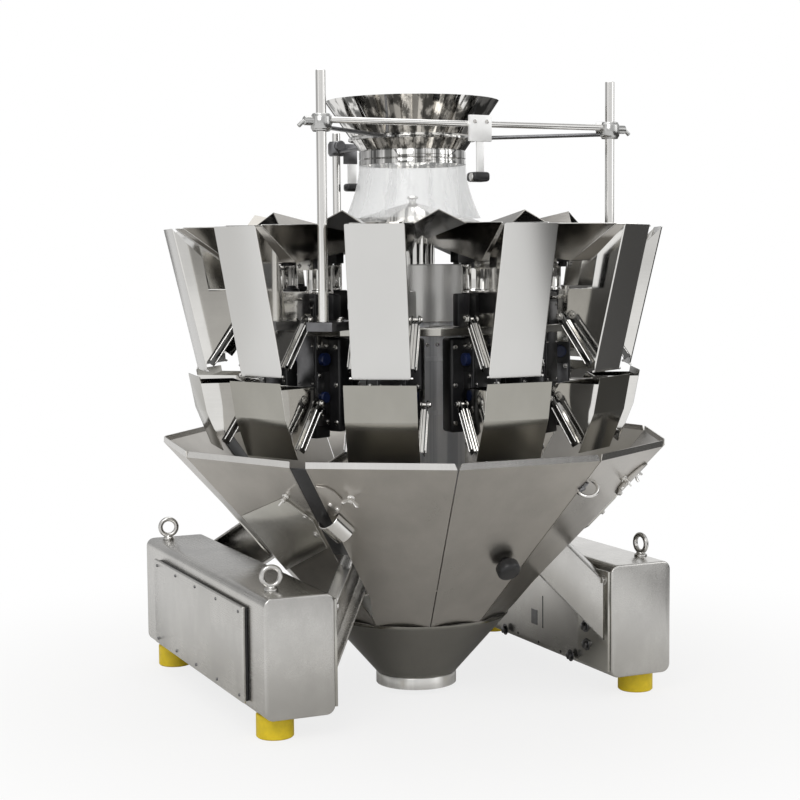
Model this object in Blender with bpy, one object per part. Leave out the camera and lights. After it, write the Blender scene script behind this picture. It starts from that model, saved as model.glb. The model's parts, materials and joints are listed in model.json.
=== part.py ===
"""Eleven-head multihead weigher on two stainless base boxes.

Product falls through the infeed funnel onto the dispersion cone, slides out along eleven
feeder pans, drops into eleven feed hoppers, then into eleven weigh hoppers, and the chosen
weigh hoppers open over the collection chute, which leads to the discharge funnel.

Metres, +Z up. The machine stands on z = 0 and its front is towards -Y. A piece that belongs
to a head is drawn in that head's own section: u runs outwards from the ring's axis, v runs
sideways along the ring, and z is height.
"""

import math

import bmesh
import bpy
from mathutils import Matrix, Vector

# Ring of heads
HEADS = 11
HEAD_STEP = 360.0 / HEADS
LEG_SLOTS = (-1.5, 1.5, 4.5, -4.5)
POST_SLOTS = (-1.5, 1.5, 5.5)
SEAT_GAP = 0.0003
JOINT_GAP = 0.005

# Sheet metal
SHEET = 0.0025
PLATE = 0.006

# Feed hoppers, the upper ring
FEED_TOP = (0.514, 0.9725)
FEED_BOTTOM = (0.4485, 0.6875)
FEED_HALF_WIDTH = 0.0556
FEED_SIDE_TOP_DROP = 0.006
FEED_SIDE_NOTCH = (0.4544, 0.9158)
FEED_SIDE_KNEE = (0.4425, 0.8486)
FEED_REAR = 0.3715
FEED_PIVOT = (0.377, 0.795)
FEED_DOOR_SLOPE = 55.5

# Weigh hoppers, the lower ring
WEIGH_TOP = (0.4664, 0.678)
WEIGH_FOLD = (0.4530, 0.608)
WEIGH_BOTTOM = (0.4215, 0.530)
WEIGH_HALF_WIDTH = 0.0684
WEIGH_SIDE_TOP_DROP = 0.012
WEIGH_REAR = 0.372
WEIGH_PIVOT = (0.362, 0.634)
WEIGH_DOOR_SLOPE = 58.5

# Doors of both rings
LIP_LIFT = 0.012
DOOR_ARM_HALF_WIDTH = 0.0085
DOOR_ARM_REACH = 0.002
DOOR_START = 0.0125
PIVOT_EYE_RADIUS = 0.0095
PIN_RADIUS = 0.004
PIN_CLEARANCE = 0.0008

# Central body
COLUMN_RADIUS = 0.114
COLUMN_BOTTOM = 0.405
DRUM_RADIUS = 0.1234
DRUM_BOTTOM = 0.7806
DRUM_TOP = 0.898
RING_INNER = 0.270
RING_OUTER = 0.345
RING_BOTTOM = 0.762
RING_THICKNESS = 0.015
SPOKE_HALF_WIDTH = 0.018

# Drive boxes, one behind each pair of hoppers
DRIVE_INNER = 0.285
DRIVE_OUTER = 0.325
DRIVE_HALF_WIDTH = 0.026
DRIVE_BOTTOM = 0.560
DRIVE_TOP = 0.842
HANGER_HALF_WIDTH = 0.020
FEED_HANGER_Z = 0.828
WEIGH_HANGER_Z = 0.650

# Feeder pans: roofs slope from the ridges down to the brows, walls from the brows to the floor
PAN_INNER = 0.125
PAN_RIDGE_RADIUS = 0.330
PAN_RIDGE_TOP = 1.0035
PAN_RIDGE_INNER_TOP = 0.958
PAN_BROW_INNER_Z = 0.9505
PAN_BROW_INNER_HALF_WIDTH = 0.025
PAN_BROW_START = (0.345, 0.9765)
PAN_BROW_END = (0.490, 0.974)
PAN_BROW_HALF_WIDTH = 0.0485
PAN_FLOOR_INNER_Z = 0.942
PAN_FLOOR_INNER_HALF_WIDTH = 0.020
PAN_FLOOR_MIDDLE = 0.365
PAN_FLOOR_END = (0.392, 0.905)
PAN_FLOOR_HALF_WIDTH = 0.041

# Vibrators under the pans
VIBRATOR_HALF_WIDTH = 0.026
VIBRATOR_INNER = 0.262
VIBRATOR_OUTER = 0.325
VIBRATOR_BRACKET_Z = 0.893
VIBRATOR_CAN_RADIUS = 0.027
VIBRATOR_CAN_U = 0.284
VIBRATOR_CAN_TOP_Z = 0.898

# Dispersion cone
CONE_RADIUS = 0.150
CONE_EDGE_Z = 0.984
CONE_TOP_Z = 1.012
CONE_STEM_RADIUS = 0.045
KNOB_RADIUS = 0.012
KNOB_NECK_HEIGHT = 0.006
KNOB_SHOULDER_HEIGHT = 0.009
KNOB_RIM_HEIGHT = 0.010
KNOB_HEIGHT = 0.014

# Collection chute and discharge funnel
CHUTE_RIM_RADIUS = 0.530
CHUTE_RIM_Z = 0.5405
CHUTE_LIP_HEIGHT = 0.012
LIP_NOTCH_HALF_WIDTH = 0.008
LIP_NOTCH_SLOTS = (-3.5, -2.5, -0.5, 0.5, 2.5, 3.5, 5.5)
CHUTE_BOTTOM_RADIUS = 0.1976
CHUTE_BOTTOM_Z = 0.170
SLOT_HALF_WIDTH = 0.0165
SLOT_START = 0.215
SLOT_SEAT_FROM = 0.262
SLOT_SEAT_TO = 0.344
OUTLET_RADIUS = 0.0840
OUTLET_TOP_Z = 0.036
OUTLET_BOTTOM_Z = 0.012
DISCHARGE_TOP_RADIUS = 0.187

# Base boxes, covers and feet
BASE_INNER_X = 0.3055
BASE_OUTER_X = 0.4483
BASE_FRONT_Y = -0.2934
BASE_REAR_Y = 0.4890
BASE_BOTTOM_Z = 0.0465
BASE_TOP_Z = 0.2810
BASE_BEND_RADIUS = 0.018
COVER_FRONT_Y = -0.205
COVER_REAR_Y = 0.385
COVER_BOTTOM_Z = 0.064
COVER_TOP_Z = 0.251
COVER_DEPTH = 0.012
FOOT_RADIUS = 0.0365
FOOT_X = 0.405
FOOT_INSET_Y = 0.0664

# Legs between the base boxes and the column
LEG_END_BOTTOM_Z = 0.124
LEG_END_TOP_Z = 0.262
LEG_COLUMN_BOTTOM_Z = 0.425
LEG_COLUMN_TOP_Z = 0.545
LEG_HALF_WIDTH = 0.0135
LEG_WEB = 0.005
LEG_PAD_LENGTH = 0.120
LEG_PAD_BOTTOM_Z = 0.060
LEG_PAD_TOP_Z = 0.268

# Infeed stand
POST_RADIUS = 0.0095
POST_RING_RADIUS = 0.4137
POST_TOP_Z = 1.260
REAR_POST_TOP_Z = 1.199
POST_FOOT_Z = 0.792
POST_PLATE_OUTER = 0.432
POST_PLATE_HALF_WIDTH = 0.030
CLAMP_RADIUS = 0.018
FRONT_ROD_Z = 1.169
FRONT_ROD_RADIUS = 0.006
HOLDER_Z = 1.156
HOLDER_RADIUS = 0.1360
HOLDER_THICKNESS = 0.005
SENSOR_X = 0.0150
SENSOR_HALF_WIDTH = 0.018
SENSOR_BOTTOM_Z = 1.0576
SENSOR_TOP_Z = 1.0764
SENSOR_STEM_HALF_WIDTH = 0.008
SENSOR_STEM_BOTTOM_Z = 1.068
SENSOR_PLATE_HALF_WIDTH = 0.024
SENSOR_PLATE_BOTTOM_Z = 1.135
SENSOR_PLATE_TOP_Z = 1.1856

# Infeed funnel and skirt
FUNNEL_RIM_RADIUS = 0.181
FUNNEL_RIM_Z = 1.2345
FUNNEL_NECK_RADIUS = 0.1093
FUNNEL_NECK_Z = 1.1315
COLLAR_BOTTOM_Z = 1.1035
COLLAR_BAND = 0.002
SKIRT_BOTTOM_RADIUS = 0.1415
SKIRT_BOTTOM_Z = 0.994
SKIRT_STEPS = 6

ROUND_SIDES = 33
SMALL_SIDES = 8


def clear_scene():
    """Remove every object that the file opens with."""
    for thing in list(bpy.data.objects):
        bpy.data.objects.remove(thing, do_unlink=True)


def make_material(name, colour, roughness, metallic):
    """A plain metal or plastic finish."""
    material = bpy.data.materials.new(name)
    material.use_nodes = True
    shader = material.node_tree.nodes["Principled BSDF"]
    shader.inputs["Base Color"].default_value = (*colour, 1.0)
    shader.inputs["Roughness"].default_value = roughness
    shader.inputs["Metallic"].default_value = metallic
    material.diffuse_color = (*colour, 1.0)
    return material


def finish_mesh(work, name):
    """Turn a bmesh into mesh data with its faces pointing out."""
    bmesh.ops.recalc_face_normals(work, faces=work.faces)
    mesh = bpy.data.meshes.new(name)
    work.to_mesh(mesh)
    work.free()
    return mesh


def prism(outline, low, high, place):
    """Close a flat outline between two levels; place turns (a, b, level) into a point."""
    work = bmesh.new()
    near = [work.verts.new(place(a, b, low)) for a, b in outline]
    far = [work.verts.new(place(a, b, high)) for a, b in outline]
    work.faces.new(near)
    work.faces.new(list(reversed(far)))
    for i in range(len(outline)):
        j = (i + 1) % len(outline)
        work.faces.new([near[i], far[i], far[j], near[j]])
    return finish_mesh(work, "prism")


def section(outline, low, high):
    """A (u, z) outline of a head, extruded sideways from v = low to v = high."""
    return prism(outline, low, high, lambda u, z, v: (v, -u, z))


def slab(outline, low, high):
    """An (x, y) outline, extruded upwards."""
    return prism(outline, low, high, lambda x, y, z: (x, y, z))


def block(x_range, y_range, z_range):
    """A rectangular block."""
    (x0, x1), (y0, y1) = x_range, y_range
    return slab([(x0, y0), (x1, y0), (x1, y1), (x0, y1)], *z_range)


def head_block(u_range, half_width, z_range):
    """A block centred on a head's middle plane."""
    (u0, u1), (z0, z1) = u_range, z_range
    return section([(u0, z0), (u1, z0), (u1, z1), (u0, z1)], -half_width, half_width)


def rod(start, end, radius, sides=SMALL_SIDES):
    """A round bar between two points."""
    work = bmesh.new()
    bmesh.ops.create_cone(work, cap_ends=True, segments=sides, radius1=radius, radius2=radius,
                          depth=1.0)
    along = [end[i] - start[i] for i in range(3)]
    length = math.sqrt(sum(value * value for value in along))
    direction = Matrix.Identity(3)
    if math.hypot(along[0], along[1]) > 1e-9 or along[2] < 0:
        tilt = math.acos(max(-1.0, min(1.0, along[2] / length)))
        heading = math.atan2(along[1], along[0])
        direction = Matrix.Rotation(heading, 3, "Z") @ Matrix.Rotation(tilt, 3, "Y")
    middle = [(start[i] + end[i]) / 2 for i in range(3)]
    stretch = Matrix.Diagonal((1.0, 1.0, length))
    bmesh.ops.transform(work, verts=work.verts, matrix=(direction @ stretch).to_4x4())
    bmesh.ops.translate(work, verts=work.verts, vec=middle)
    return finish_mesh(work, "rod")


def lathe(profile, sides, phase=0.0):
    """Turn a closed (radius, z) profile about the ring's axis; radius 0 closes on the axis."""
    work = bmesh.new()
    columns = []
    for i in range(sides):
        angle = math.radians(phase) + 2 * math.pi * i / sides
        columns.append([None if r == 0 else
                        work.verts.new((r * math.sin(angle), -r * math.cos(angle), z))
                        for r, z in profile])
    poles = {k: work.verts.new((0.0, 0.0, z)) for k, (r, z) in enumerate(profile) if r == 0}
    count = len(profile)
    for i in range(sides):
        here, after = columns[i], columns[(i + 1) % sides]
        for k in range(count):
            m = (k + 1) % count
            if k in poles and m in poles:
                continue
            corners = [poles.get(k, here[k]), poles.get(m, here[m]),
                       poles.get(m, after[m]), poles.get(k, after[k])]
            work.faces.new(list(dict.fromkeys(corners)))
    return finish_mesh(work, "lathe")


def strip(points, thickness):
    """Outline of a folded sheet: the points, then the same points moved inwards."""
    inner = []
    for i, (u, z) in enumerate(points):
        before = points[max(i - 1, 0)]
        after = points[min(i + 1, len(points) - 1)]
        along = (after[0] - before[0], after[1] - before[1])
        length = math.hypot(*along)
        inner.append((u + along[1] / length * thickness, z - along[0] / length * thickness))
    return list(points) + inner[::-1]


def temporary(mesh):
    """A linked object that carries a mesh while Booleans run."""
    thing = bpy.data.objects.new("temporary", mesh)
    bpy.context.scene.collection.objects.link(thing)
    return thing


def combine(pieces, cutters=()):
    """Weld overlapping closed meshes into one and take the cutters away."""
    body = temporary(pieces[0])
    helpers = []
    jobs = [("UNION", mesh) for mesh in pieces[1:]] + [("DIFFERENCE", mesh) for mesh in cutters]
    for operation, mesh in jobs:
        helper = temporary(mesh)
        helpers.append(helper)
        step = body.modifiers.new(operation, "BOOLEAN")
        step.operation = operation
        step.object = helper
        step.solver = "EXACT"
    result = bpy.data.meshes.new_from_object(
        body.evaluated_get(bpy.context.evaluated_depsgraph_get()))
    for thing in [body] + helpers:
        bpy.data.objects.remove(thing, do_unlink=True)
    return result


def turned(mesh, degrees):
    """A copy of a mesh, turned about the ring's axis."""
    copy = mesh.copy()
    copy.transform(Matrix.Rotation(math.radians(degrees), 4, "Z"))
    return copy


def add(name, mesh, material, parent, turn=0.0, origin=(0.0, 0.0, 0.0)):
    """Show a mesh as a named piece of the machine, turned about the ring's axis."""
    mesh.materials.clear()
    mesh.materials.append(material)
    mesh.shade_smooth()
    mesh.set_sharp_from_angle(angle=math.radians(30))
    thing = bpy.data.objects.new(name, mesh)
    bpy.context.scene.collection.objects.link(thing)
    thing.parent = parent
    thing.rotation_euler = (0.0, 0.0, math.radians(turn))
    thing.location = Matrix.Rotation(math.radians(turn), 3, "Z") @ Vector(origin)
    return thing


def head_angle(head):
    """Angle of a head in degrees; head 0 faces the front, and they run anticlockwise."""
    return head * HEAD_STEP


def along_door(pivot, slope, distance, lift):
    """A point in a head's section, measured down a closed door from its pivot."""
    c, s = math.cos(math.radians(slope)), math.sin(math.radians(slope))
    return (pivot[0] + c * distance + s * lift, pivot[1] - s * distance + c * lift)


def distance_to_line(pivot, slope, lift, low, high, inset):
    """How far down the door line a sheet from low to high, moved in by inset, is met."""
    c, s = math.cos(math.radians(slope)), math.sin(math.radians(slope))
    start = along_door(pivot, slope, 0.0, lift)
    lean = (high[0] - low[0]) / (high[1] - low[1])
    inner = low[0] - inset * math.sqrt(1 + lean * lean)
    return (inner + lean * (start[1] - low[1]) - start[0]) / (c + lean * s)


def pivot_eye(pivot, start, end, radius, steps=4):
    """Arc of points round a pivot, from one angle to another in degrees."""
    points = []
    for i in range(steps + 1):
        angle = math.radians(start + (end - start) * i / steps)
        points.append((pivot[0] + radius * math.cos(angle), pivot[1] + radius * math.sin(angle)))
    return points


def hopper_mesh(outer, half_width, side_corners, rear, pivot, slope):
    """A bucket: outer plate, two side plates with pivot ears, back plate and hanger plate.

    The side plates' corners run inwards from the outer plate's top, and the last is level with
    the top of the back plate.
    """
    side_top = side_corners[0]
    rear_top = side_corners[-1][1]
    lip_end = distance_to_line(pivot, slope, LIP_LIFT, outer[-1], outer[-2], SHEET / 2)
    lip_low = along_door(pivot, slope, lip_end, LIP_LIFT)
    lip_high = along_door(pivot, slope, DOOR_START / 2, LIP_LIFT)
    face = [(u - SHEET / 2, z) for u, z in outer]
    kept = [point for point in face if lip_low[1] < point[1] < side_top[1]]
    ear = pivot_eye(pivot, 180, 360, PIVOT_EYE_RADIUS, 3)
    side = side_corners + [(rear, rear_top)] + ear + [lip_high, lip_low] + kept[::-1]
    pieces = [section(strip(outer, SHEET), -half_width, half_width)]
    for low in (-half_width, half_width - SHEET):
        pieces.append(section(side, low, low + SHEET))
    wall = [(rear + SHEET, rear_top - SHEET / 5), lip_high]
    pieces.append(section(strip(wall, SHEET), -half_width + SHEET / 2, half_width - SHEET / 2))
    hanger = [(rear, rear_top), (rear + SHEET, rear_top),
              (rear + SHEET, rear_top - 0.032), (rear, rear_top - 0.032)]
    pieces.append(section(hanger, -half_width + SHEET / 2, half_width - SHEET / 2))
    pin_end = half_width + JOINT_GAP + 2 * SHEET
    for side_sign in (-1, 1):
        start = (side_sign * (half_width - SHEET / 2), -pivot[0], pivot[1])
        end = (side_sign * pin_end, -pivot[0], pivot[1])
        pieces.append(rod(start, end, PIN_RADIUS))
    return combine(pieces)


def door_mesh(outer, half_width, pivot, slope):
    """A closed door: a plate under the bucket with an arm along each side."""
    plate_top = LIP_LIFT - JOINT_GAP
    plate_low = plate_top - SHEET
    inset = SHEET + JOINT_GAP
    tip = distance_to_line(pivot, slope, plate_top, outer[-1], outer[-2], inset)
    arm_inner = half_width + JOINT_GAP
    arm_outer = arm_inner + SHEET
    plate = [along_door(pivot, slope, DOOR_START, plate_low),
             along_door(pivot, slope, tip, plate_low),
             along_door(pivot, slope, tip, plate_top),
             along_door(pivot, slope, DOOR_START, plate_top)]
    arm = pivot_eye(pivot, 90 - slope, 270 - slope, DOOR_ARM_HALF_WIDTH)
    arm += [along_door(pivot, slope, tip + DOOR_ARM_REACH, -DOOR_ARM_HALF_WIDTH),
            along_door(pivot, slope, tip + DOOR_ARM_REACH, DOOR_ARM_HALF_WIDTH)]
    pieces = [section(plate, -arm_outer + SHEET / 2, arm_outer - SHEET / 2)]
    holes = []
    for low in (-arm_outer, arm_inner):
        pieces.append(section(arm, low, low + SHEET))
        holes.append(rod((low - SHEET, -pivot[0], pivot[1]), (low + 2 * SHEET, -pivot[0], pivot[1]),
                         PIN_RADIUS + PIN_CLEARANCE))
    door = combine(pieces, holes)
    door.transform(Matrix.Translation((0.0, pivot[0], -pivot[1])))
    return door


def make_hoppers(steel, machine):
    """The two rings of buckets with their doors, each door's origin on its hinge."""
    feed_outer = [FEED_TOP, FEED_BOTTOM]
    feed_side_top = (FEED_TOP[0] - 2 * SHEET, FEED_TOP[1] - FEED_SIDE_TOP_DROP)
    feed_args = (feed_outer, FEED_HALF_WIDTH, [feed_side_top, FEED_SIDE_NOTCH, FEED_SIDE_KNEE],
                 FEED_REAR, FEED_PIVOT, FEED_DOOR_SLOPE)
    weigh_outer = [WEIGH_TOP, WEIGH_FOLD, WEIGH_BOTTOM]
    weigh_side_top = (WEIGH_TOP[0] - 2 * SHEET, WEIGH_TOP[1] - WEIGH_SIDE_TOP_DROP)
    weigh_args = (weigh_outer, WEIGH_HALF_WIDTH, [weigh_side_top], WEIGH_REAR, WEIGH_PIVOT,
                  WEIGH_DOOR_SLOPE)
    feed_door = door_mesh(feed_outer, FEED_HALF_WIDTH, FEED_PIVOT, FEED_DOOR_SLOPE)
    weigh_door = door_mesh(weigh_outer, WEIGH_HALF_WIDTH, WEIGH_PIVOT, WEIGH_DOOR_SLOPE)
    kinds = (("feed_hopper", hopper_mesh(*feed_args), (0.0, 0.0, 0.0)),
             ("feed_door", feed_door, (0.0, -FEED_PIVOT[0], FEED_PIVOT[1])),
             ("weigh_hopper", hopper_mesh(*weigh_args), (0.0, 0.0, 0.0)),
             ("weigh_door", weigh_door, (0.0, -WEIGH_PIVOT[0], WEIGH_PIVOT[1])))
    for head in range(HEADS):
        for name, mesh, origin in kinds:
            add(f"{name}_{head + 1:02d}", mesh, steel, machine, head_angle(head), origin)


def leg_mesh(slot):
    """One diagonal leg with its bolted pad, as a channel with its web in the radial plane."""
    angle = head_angle(slot)
    across, back = math.sin(math.radians(angle)), -math.cos(math.radians(angle))
    end = BASE_INNER_X / abs(across)
    outline = [(end + 0.03, LEG_END_BOTTOM_Z), (end + 0.03, LEG_END_TOP_Z - 0.03),
               (end - 0.012, LEG_END_TOP_Z), (COLUMN_RADIUS - 0.02, LEG_COLUMN_TOP_Z),
               (COLUMN_RADIUS - 0.02, LEG_COLUMN_BOTTOM_Z), (end, LEG_END_BOTTOM_Z)]
    solid = section(outline, -LEG_HALF_WIDTH, LEG_HALF_WIDTH)
    rise_top = (LEG_COLUMN_TOP_Z - LEG_END_TOP_Z) / (end - 0.012 - COLUMN_RADIUS + 0.02)
    rise_low = (LEG_COLUMN_BOTTOM_Z - LEG_END_BOTTOM_Z) / (end - COLUMN_RADIUS + 0.02)
    thick = LEG_WEB * math.sqrt(2)
    first, last = end - 0.020, COLUMN_RADIUS + 0.012
    top_z = LEG_END_TOP_Z + rise_top * (end - 0.012 - first) - thick
    low_z = LEG_END_BOTTOM_Z + rise_low * (end - first) + thick
    span = first - last
    hollow = section([(first, low_z), (first, top_z), (last, top_z + rise_top * span),
                      (last, low_z + rise_low * span)], -LEG_HALF_WIDTH + LEG_WEB,
                     LEG_HALF_WIDTH + 0.01)
    bar = turned(combine([solid], [hollow]), angle)
    side = 1 if across > 0 else -1
    beyond = sorted((side * (BASE_INNER_X - SEAT_GAP), side * (BASE_INNER_X + 0.1)))
    trim = block(beyond, (-0.6, 0.6), (0.0, 0.6))
    pad_y = max(min(back * end, BASE_REAR_Y - LEG_PAD_LENGTH / 2 - 0.004),
                BASE_FRONT_Y + LEG_PAD_LENGTH / 2 + 0.004)
    pad_x = sorted((side * (BASE_INNER_X - SEAT_GAP - PLATE), side * (BASE_INNER_X - SEAT_GAP)))
    pad = block(pad_x, (pad_y - LEG_PAD_LENGTH / 2, pad_y + LEG_PAD_LENGTH / 2),
                (LEG_PAD_BOTTOM_Z, LEG_PAD_TOP_Z))
    return combine([bar], [trim]), pad


def make_body(steel, machine):
    """Column, drum, drive boxes, hangers, post plates and the four legs."""
    pieces = [lathe([(0, COLUMN_BOTTOM), (COLUMN_RADIUS - 0.03, COLUMN_BOTTOM),
                     (COLUMN_RADIUS, COLUMN_BOTTOM + 0.03), (COLUMN_RADIUS, DRUM_BOTTOM + 0.01),
                     (0, DRUM_BOTTOM + 0.01)], ROUND_SIDES)]
    pieces.append(lathe([(0, DRUM_BOTTOM), (DRUM_RADIUS, DRUM_BOTTOM), (DRUM_RADIUS, DRUM_TOP),
                         (0, DRUM_TOP)], ROUND_SIDES))
    ring_top = RING_BOTTOM + RING_THICKNESS
    pieces.append(lathe([(RING_INNER, RING_BOTTOM), (RING_OUTER, RING_BOTTOM),
                         (RING_OUTER, ring_top), (RING_INNER, ring_top)], HEADS, HEAD_STEP / 2))
    drive = combine([
        head_block((DRIVE_INNER, DRIVE_OUTER), DRIVE_HALF_WIDTH, (DRIVE_BOTTOM, DRIVE_TOP)),
        head_block((DRIVE_OUTER - 0.005, FEED_REAR - SEAT_GAP), HANGER_HALF_WIDTH,
                   (FEED_HANGER_Z, FEED_HANGER_Z + PLATE)),
        head_block((DRIVE_OUTER - 0.005, WEIGH_REAR - SEAT_GAP), HANGER_HALF_WIDTH,
                   (WEIGH_HANGER_Z, WEIGH_HANGER_Z + PLATE)),
        head_block((COLUMN_RADIUS - 0.01, DRIVE_INNER + 0.01), SPOKE_HALF_WIDTH,
                   (RING_BOTTOM + 0.002, ring_top - 0.002))])
    pieces += [turned(drive, head_angle(head)) for head in range(HEADS)]
    plate = head_block((RING_INNER + 0.02, POST_PLATE_OUTER), POST_PLATE_HALF_WIDTH,
                       (ring_top - 0.005, POST_FOOT_Z))
    pieces += [turned(plate, head_angle(slot)) for slot in POST_SLOTS]
    for slot in LEG_SLOTS:
        pieces += leg_mesh(slot)
    add("body_frame", combine(pieces), steel, machine)


def pan_floor(u):
    """Height of the pans' floor at a distance from the ring's axis."""
    fall = (PAN_FLOOR_END[1] - PAN_FLOOR_INNER_Z) / (PAN_FLOOR_END[0] - PAN_INNER)
    return PAN_FLOOR_INNER_Z + fall * (u - PAN_INNER)


def pan_rows():
    """Half of a pan as rows of (u, v, z) points, each from the ridge down to the floor."""
    half = math.radians(HEAD_STEP / 2)
    ridges = [(radius * math.cos(half), radius * math.sin(half), z) for radius, z in
              ((PAN_INNER, PAN_RIDGE_INNER_TOP), (PAN_RIDGE_RADIUS, PAN_RIDGE_TOP))]
    middle_z = pan_floor(PAN_FLOOR_MIDDLE)
    rise = (middle_z - PAN_FLOOR_END[1]) / (PAN_BROW_END[1] - PAN_FLOOR_END[1])
    middle_half = PAN_FLOOR_HALF_WIDTH + (PAN_BROW_HALF_WIDTH - PAN_FLOOR_HALF_WIDTH) * rise
    return ([ridges[0], (PAN_INNER, PAN_BROW_INNER_HALF_WIDTH, PAN_BROW_INNER_Z),
             (PAN_INNER, PAN_FLOOR_INNER_HALF_WIDTH, PAN_FLOOR_INNER_Z)],
            [ridges[1], (PAN_BROW_START[0], PAN_BROW_HALF_WIDTH, PAN_BROW_START[1]),
             (PAN_FLOOR_MIDDLE, middle_half, middle_z)],
            [(PAN_BROW_END[0], PAN_BROW_HALF_WIDTH, PAN_BROW_END[1]),
             (PAN_FLOOR_END[0], PAN_FLOOR_HALF_WIDTH, PAN_FLOOR_END[1])])


def pan_sector(work, head):
    """One feeder pan: roofs, walls and floor, open at its slanted outer end."""
    turn = Matrix.Rotation(math.radians(head_angle(head)), 4, "Z")
    rows = []
    for half_row in pan_rows():
        full = [(u, -v, z) for u, v, z in half_row] + half_row[::-1]
        rows.append([work.verts.new(turn @ Vector((v, -u, z))) for u, v, z in full])
    inner, middle, outer = rows
    for before, after in ((inner, middle), (middle[1:-1], outer)):
        for k in range(len(after) - 1):
            work.faces.new([before[k], after[k], after[k + 1], before[k + 1]])


def make_feeders(steel, machine):
    """The ring of feeder pans on their vibrators."""
    work = bmesh.new()
    for head in range(HEADS):
        pan_sector(work, head)
    bmesh.ops.remove_doubles(work, verts=work.verts, dist=0.0001)
    sheet = finish_mesh(work, "pans")
    shell = temporary(sheet)
    thicken = shell.modifiers.new("thickness", "SOLIDIFY")
    thicken.thickness = SHEET
    thicken.offset = 0.0
    pans = bpy.data.meshes.new_from_object(
        shell.evaluated_get(bpy.context.evaluated_depsgraph_get()))
    bpy.data.objects.remove(shell, do_unlink=True)
    bracket = section([(VIBRATOR_INNER, VIBRATOR_BRACKET_Z), (VIBRATOR_OUTER, VIBRATOR_BRACKET_Z),
                       (VIBRATOR_OUTER, pan_floor(VIBRATOR_OUTER) + SHEET / 4),
                       (VIBRATOR_INNER, pan_floor(VIBRATOR_INNER) + SHEET / 4)],
                      -VIBRATOR_HALF_WIDTH, VIBRATOR_HALF_WIDTH)
    can = rod((0.0, -VIBRATOR_CAN_U, DRIVE_TOP + SEAT_GAP),
              (0.0, -VIBRATOR_CAN_U, VIBRATOR_CAN_TOP_Z), VIBRATOR_CAN_RADIUS, 16)
    vibrator = combine([bracket, can])
    pieces = [pans] + [turned(vibrator, head_angle(head)) for head in range(HEADS)]
    add("feeder_ring", combine(pieces), steel, machine)


def make_cone(steel, machine):
    """The dispersion cone on its stem, with the knob that holds it down."""
    profile = [(0, DRUM_TOP + SEAT_GAP), (CONE_STEM_RADIUS, DRUM_TOP + SEAT_GAP),
               (CONE_STEM_RADIUS, CONE_EDGE_Z + 0.012), (CONE_RADIUS - 0.006, CONE_EDGE_Z - 0.006),
               (CONE_RADIUS, CONE_EDGE_Z - 0.006), (CONE_RADIUS, CONE_EDGE_Z),
               (KNOB_RADIUS * 0.6, CONE_TOP_Z), (KNOB_RADIUS * 0.6, CONE_TOP_Z + KNOB_NECK_HEIGHT),
               (KNOB_RADIUS, CONE_TOP_Z + KNOB_SHOULDER_HEIGHT),
               (KNOB_RADIUS, CONE_TOP_Z + KNOB_RIM_HEIGHT),
               (KNOB_RADIUS * 0.6, CONE_TOP_Z + KNOB_HEIGHT), (0, CONE_TOP_Z + KNOB_HEIGHT)]
    add("dispersion_cone", lathe(profile, ROUND_SIDES), steel, machine)


def make_chute(steel, machine):
    """The faceted collection chute, slotted where the legs pass, and the discharge funnel."""
    thin = SHEET / math.cos(math.radians(HEAD_STEP / 2))
    profile = [(CHUTE_RIM_RADIUS, CHUTE_RIM_Z), (CHUTE_RIM_RADIUS, CHUTE_RIM_Z - CHUTE_LIP_HEIGHT),
               (CHUTE_BOTTOM_RADIUS, CHUTE_BOTTOM_Z),
               (CHUTE_BOTTOM_RADIUS - thin * 1.35, CHUTE_BOTTOM_Z),
               (CHUTE_RIM_RADIUS - thin, CHUTE_RIM_Z - CHUTE_LIP_HEIGHT + SHEET * 0.45),
               (CHUTE_RIM_RADIUS - thin, CHUTE_RIM_Z)]
    funnel = lathe(profile, HEADS, HEAD_STEP / 2)
    seat = LEG_HALF_WIDTH + SEAT_GAP
    edge = [(0.004, -SLOT_START), (seat, -SLOT_SEAT_FROM), (seat, -SLOT_SEAT_TO),
            (SLOT_HALF_WIDTH, -SLOT_SEAT_TO), (SLOT_HALF_WIDTH, -0.7)]
    plan = edge + [(-x, y) for x, y in reversed(edge)]
    slot = slab(plan, 0.05, 0.7)
    slots = [turned(slot, head_angle(position)) for position in LEG_SLOTS]
    notch_top = CHUTE_RIM_Z + CHUTE_LIP_HEIGHT / 4
    notch_low = CHUTE_RIM_Z - CHUTE_LIP_HEIGHT * 0.9
    notch = prism([(-LIP_NOTCH_HALF_WIDTH, notch_top), (0.0, notch_low),
                   (LIP_NOTCH_HALF_WIDTH, notch_top)],
                  CHUTE_RIM_RADIUS * 0.94, CHUTE_RIM_RADIUS * 1.04, lambda v, z, u: (v, -u, z))
    slots += [turned(notch, head_angle(position)) for position in LIP_NOTCH_SLOTS]
    add("collection_chute", combine([funnel], slots), steel, machine)
    top = CHUTE_BOTTOM_Z - SEAT_GAP
    cone = [(DISCHARGE_TOP_RADIUS + 0.008, top), (DISCHARGE_TOP_RADIUS + 0.008, top - SHEET),
            (DISCHARGE_TOP_RADIUS, top - SHEET), (OUTLET_RADIUS, OUTLET_TOP_Z),
            (OUTLET_RADIUS, OUTLET_BOTTOM_Z), (OUTLET_RADIUS - SHEET, OUTLET_BOTTOM_Z),
            (OUTLET_RADIUS - SHEET, OUTLET_TOP_Z + 0.001), (DISCHARGE_TOP_RADIUS - 0.004, top)]
    add("discharge_funnel", lathe(cone, ROUND_SIDES), steel, machine)


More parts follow.
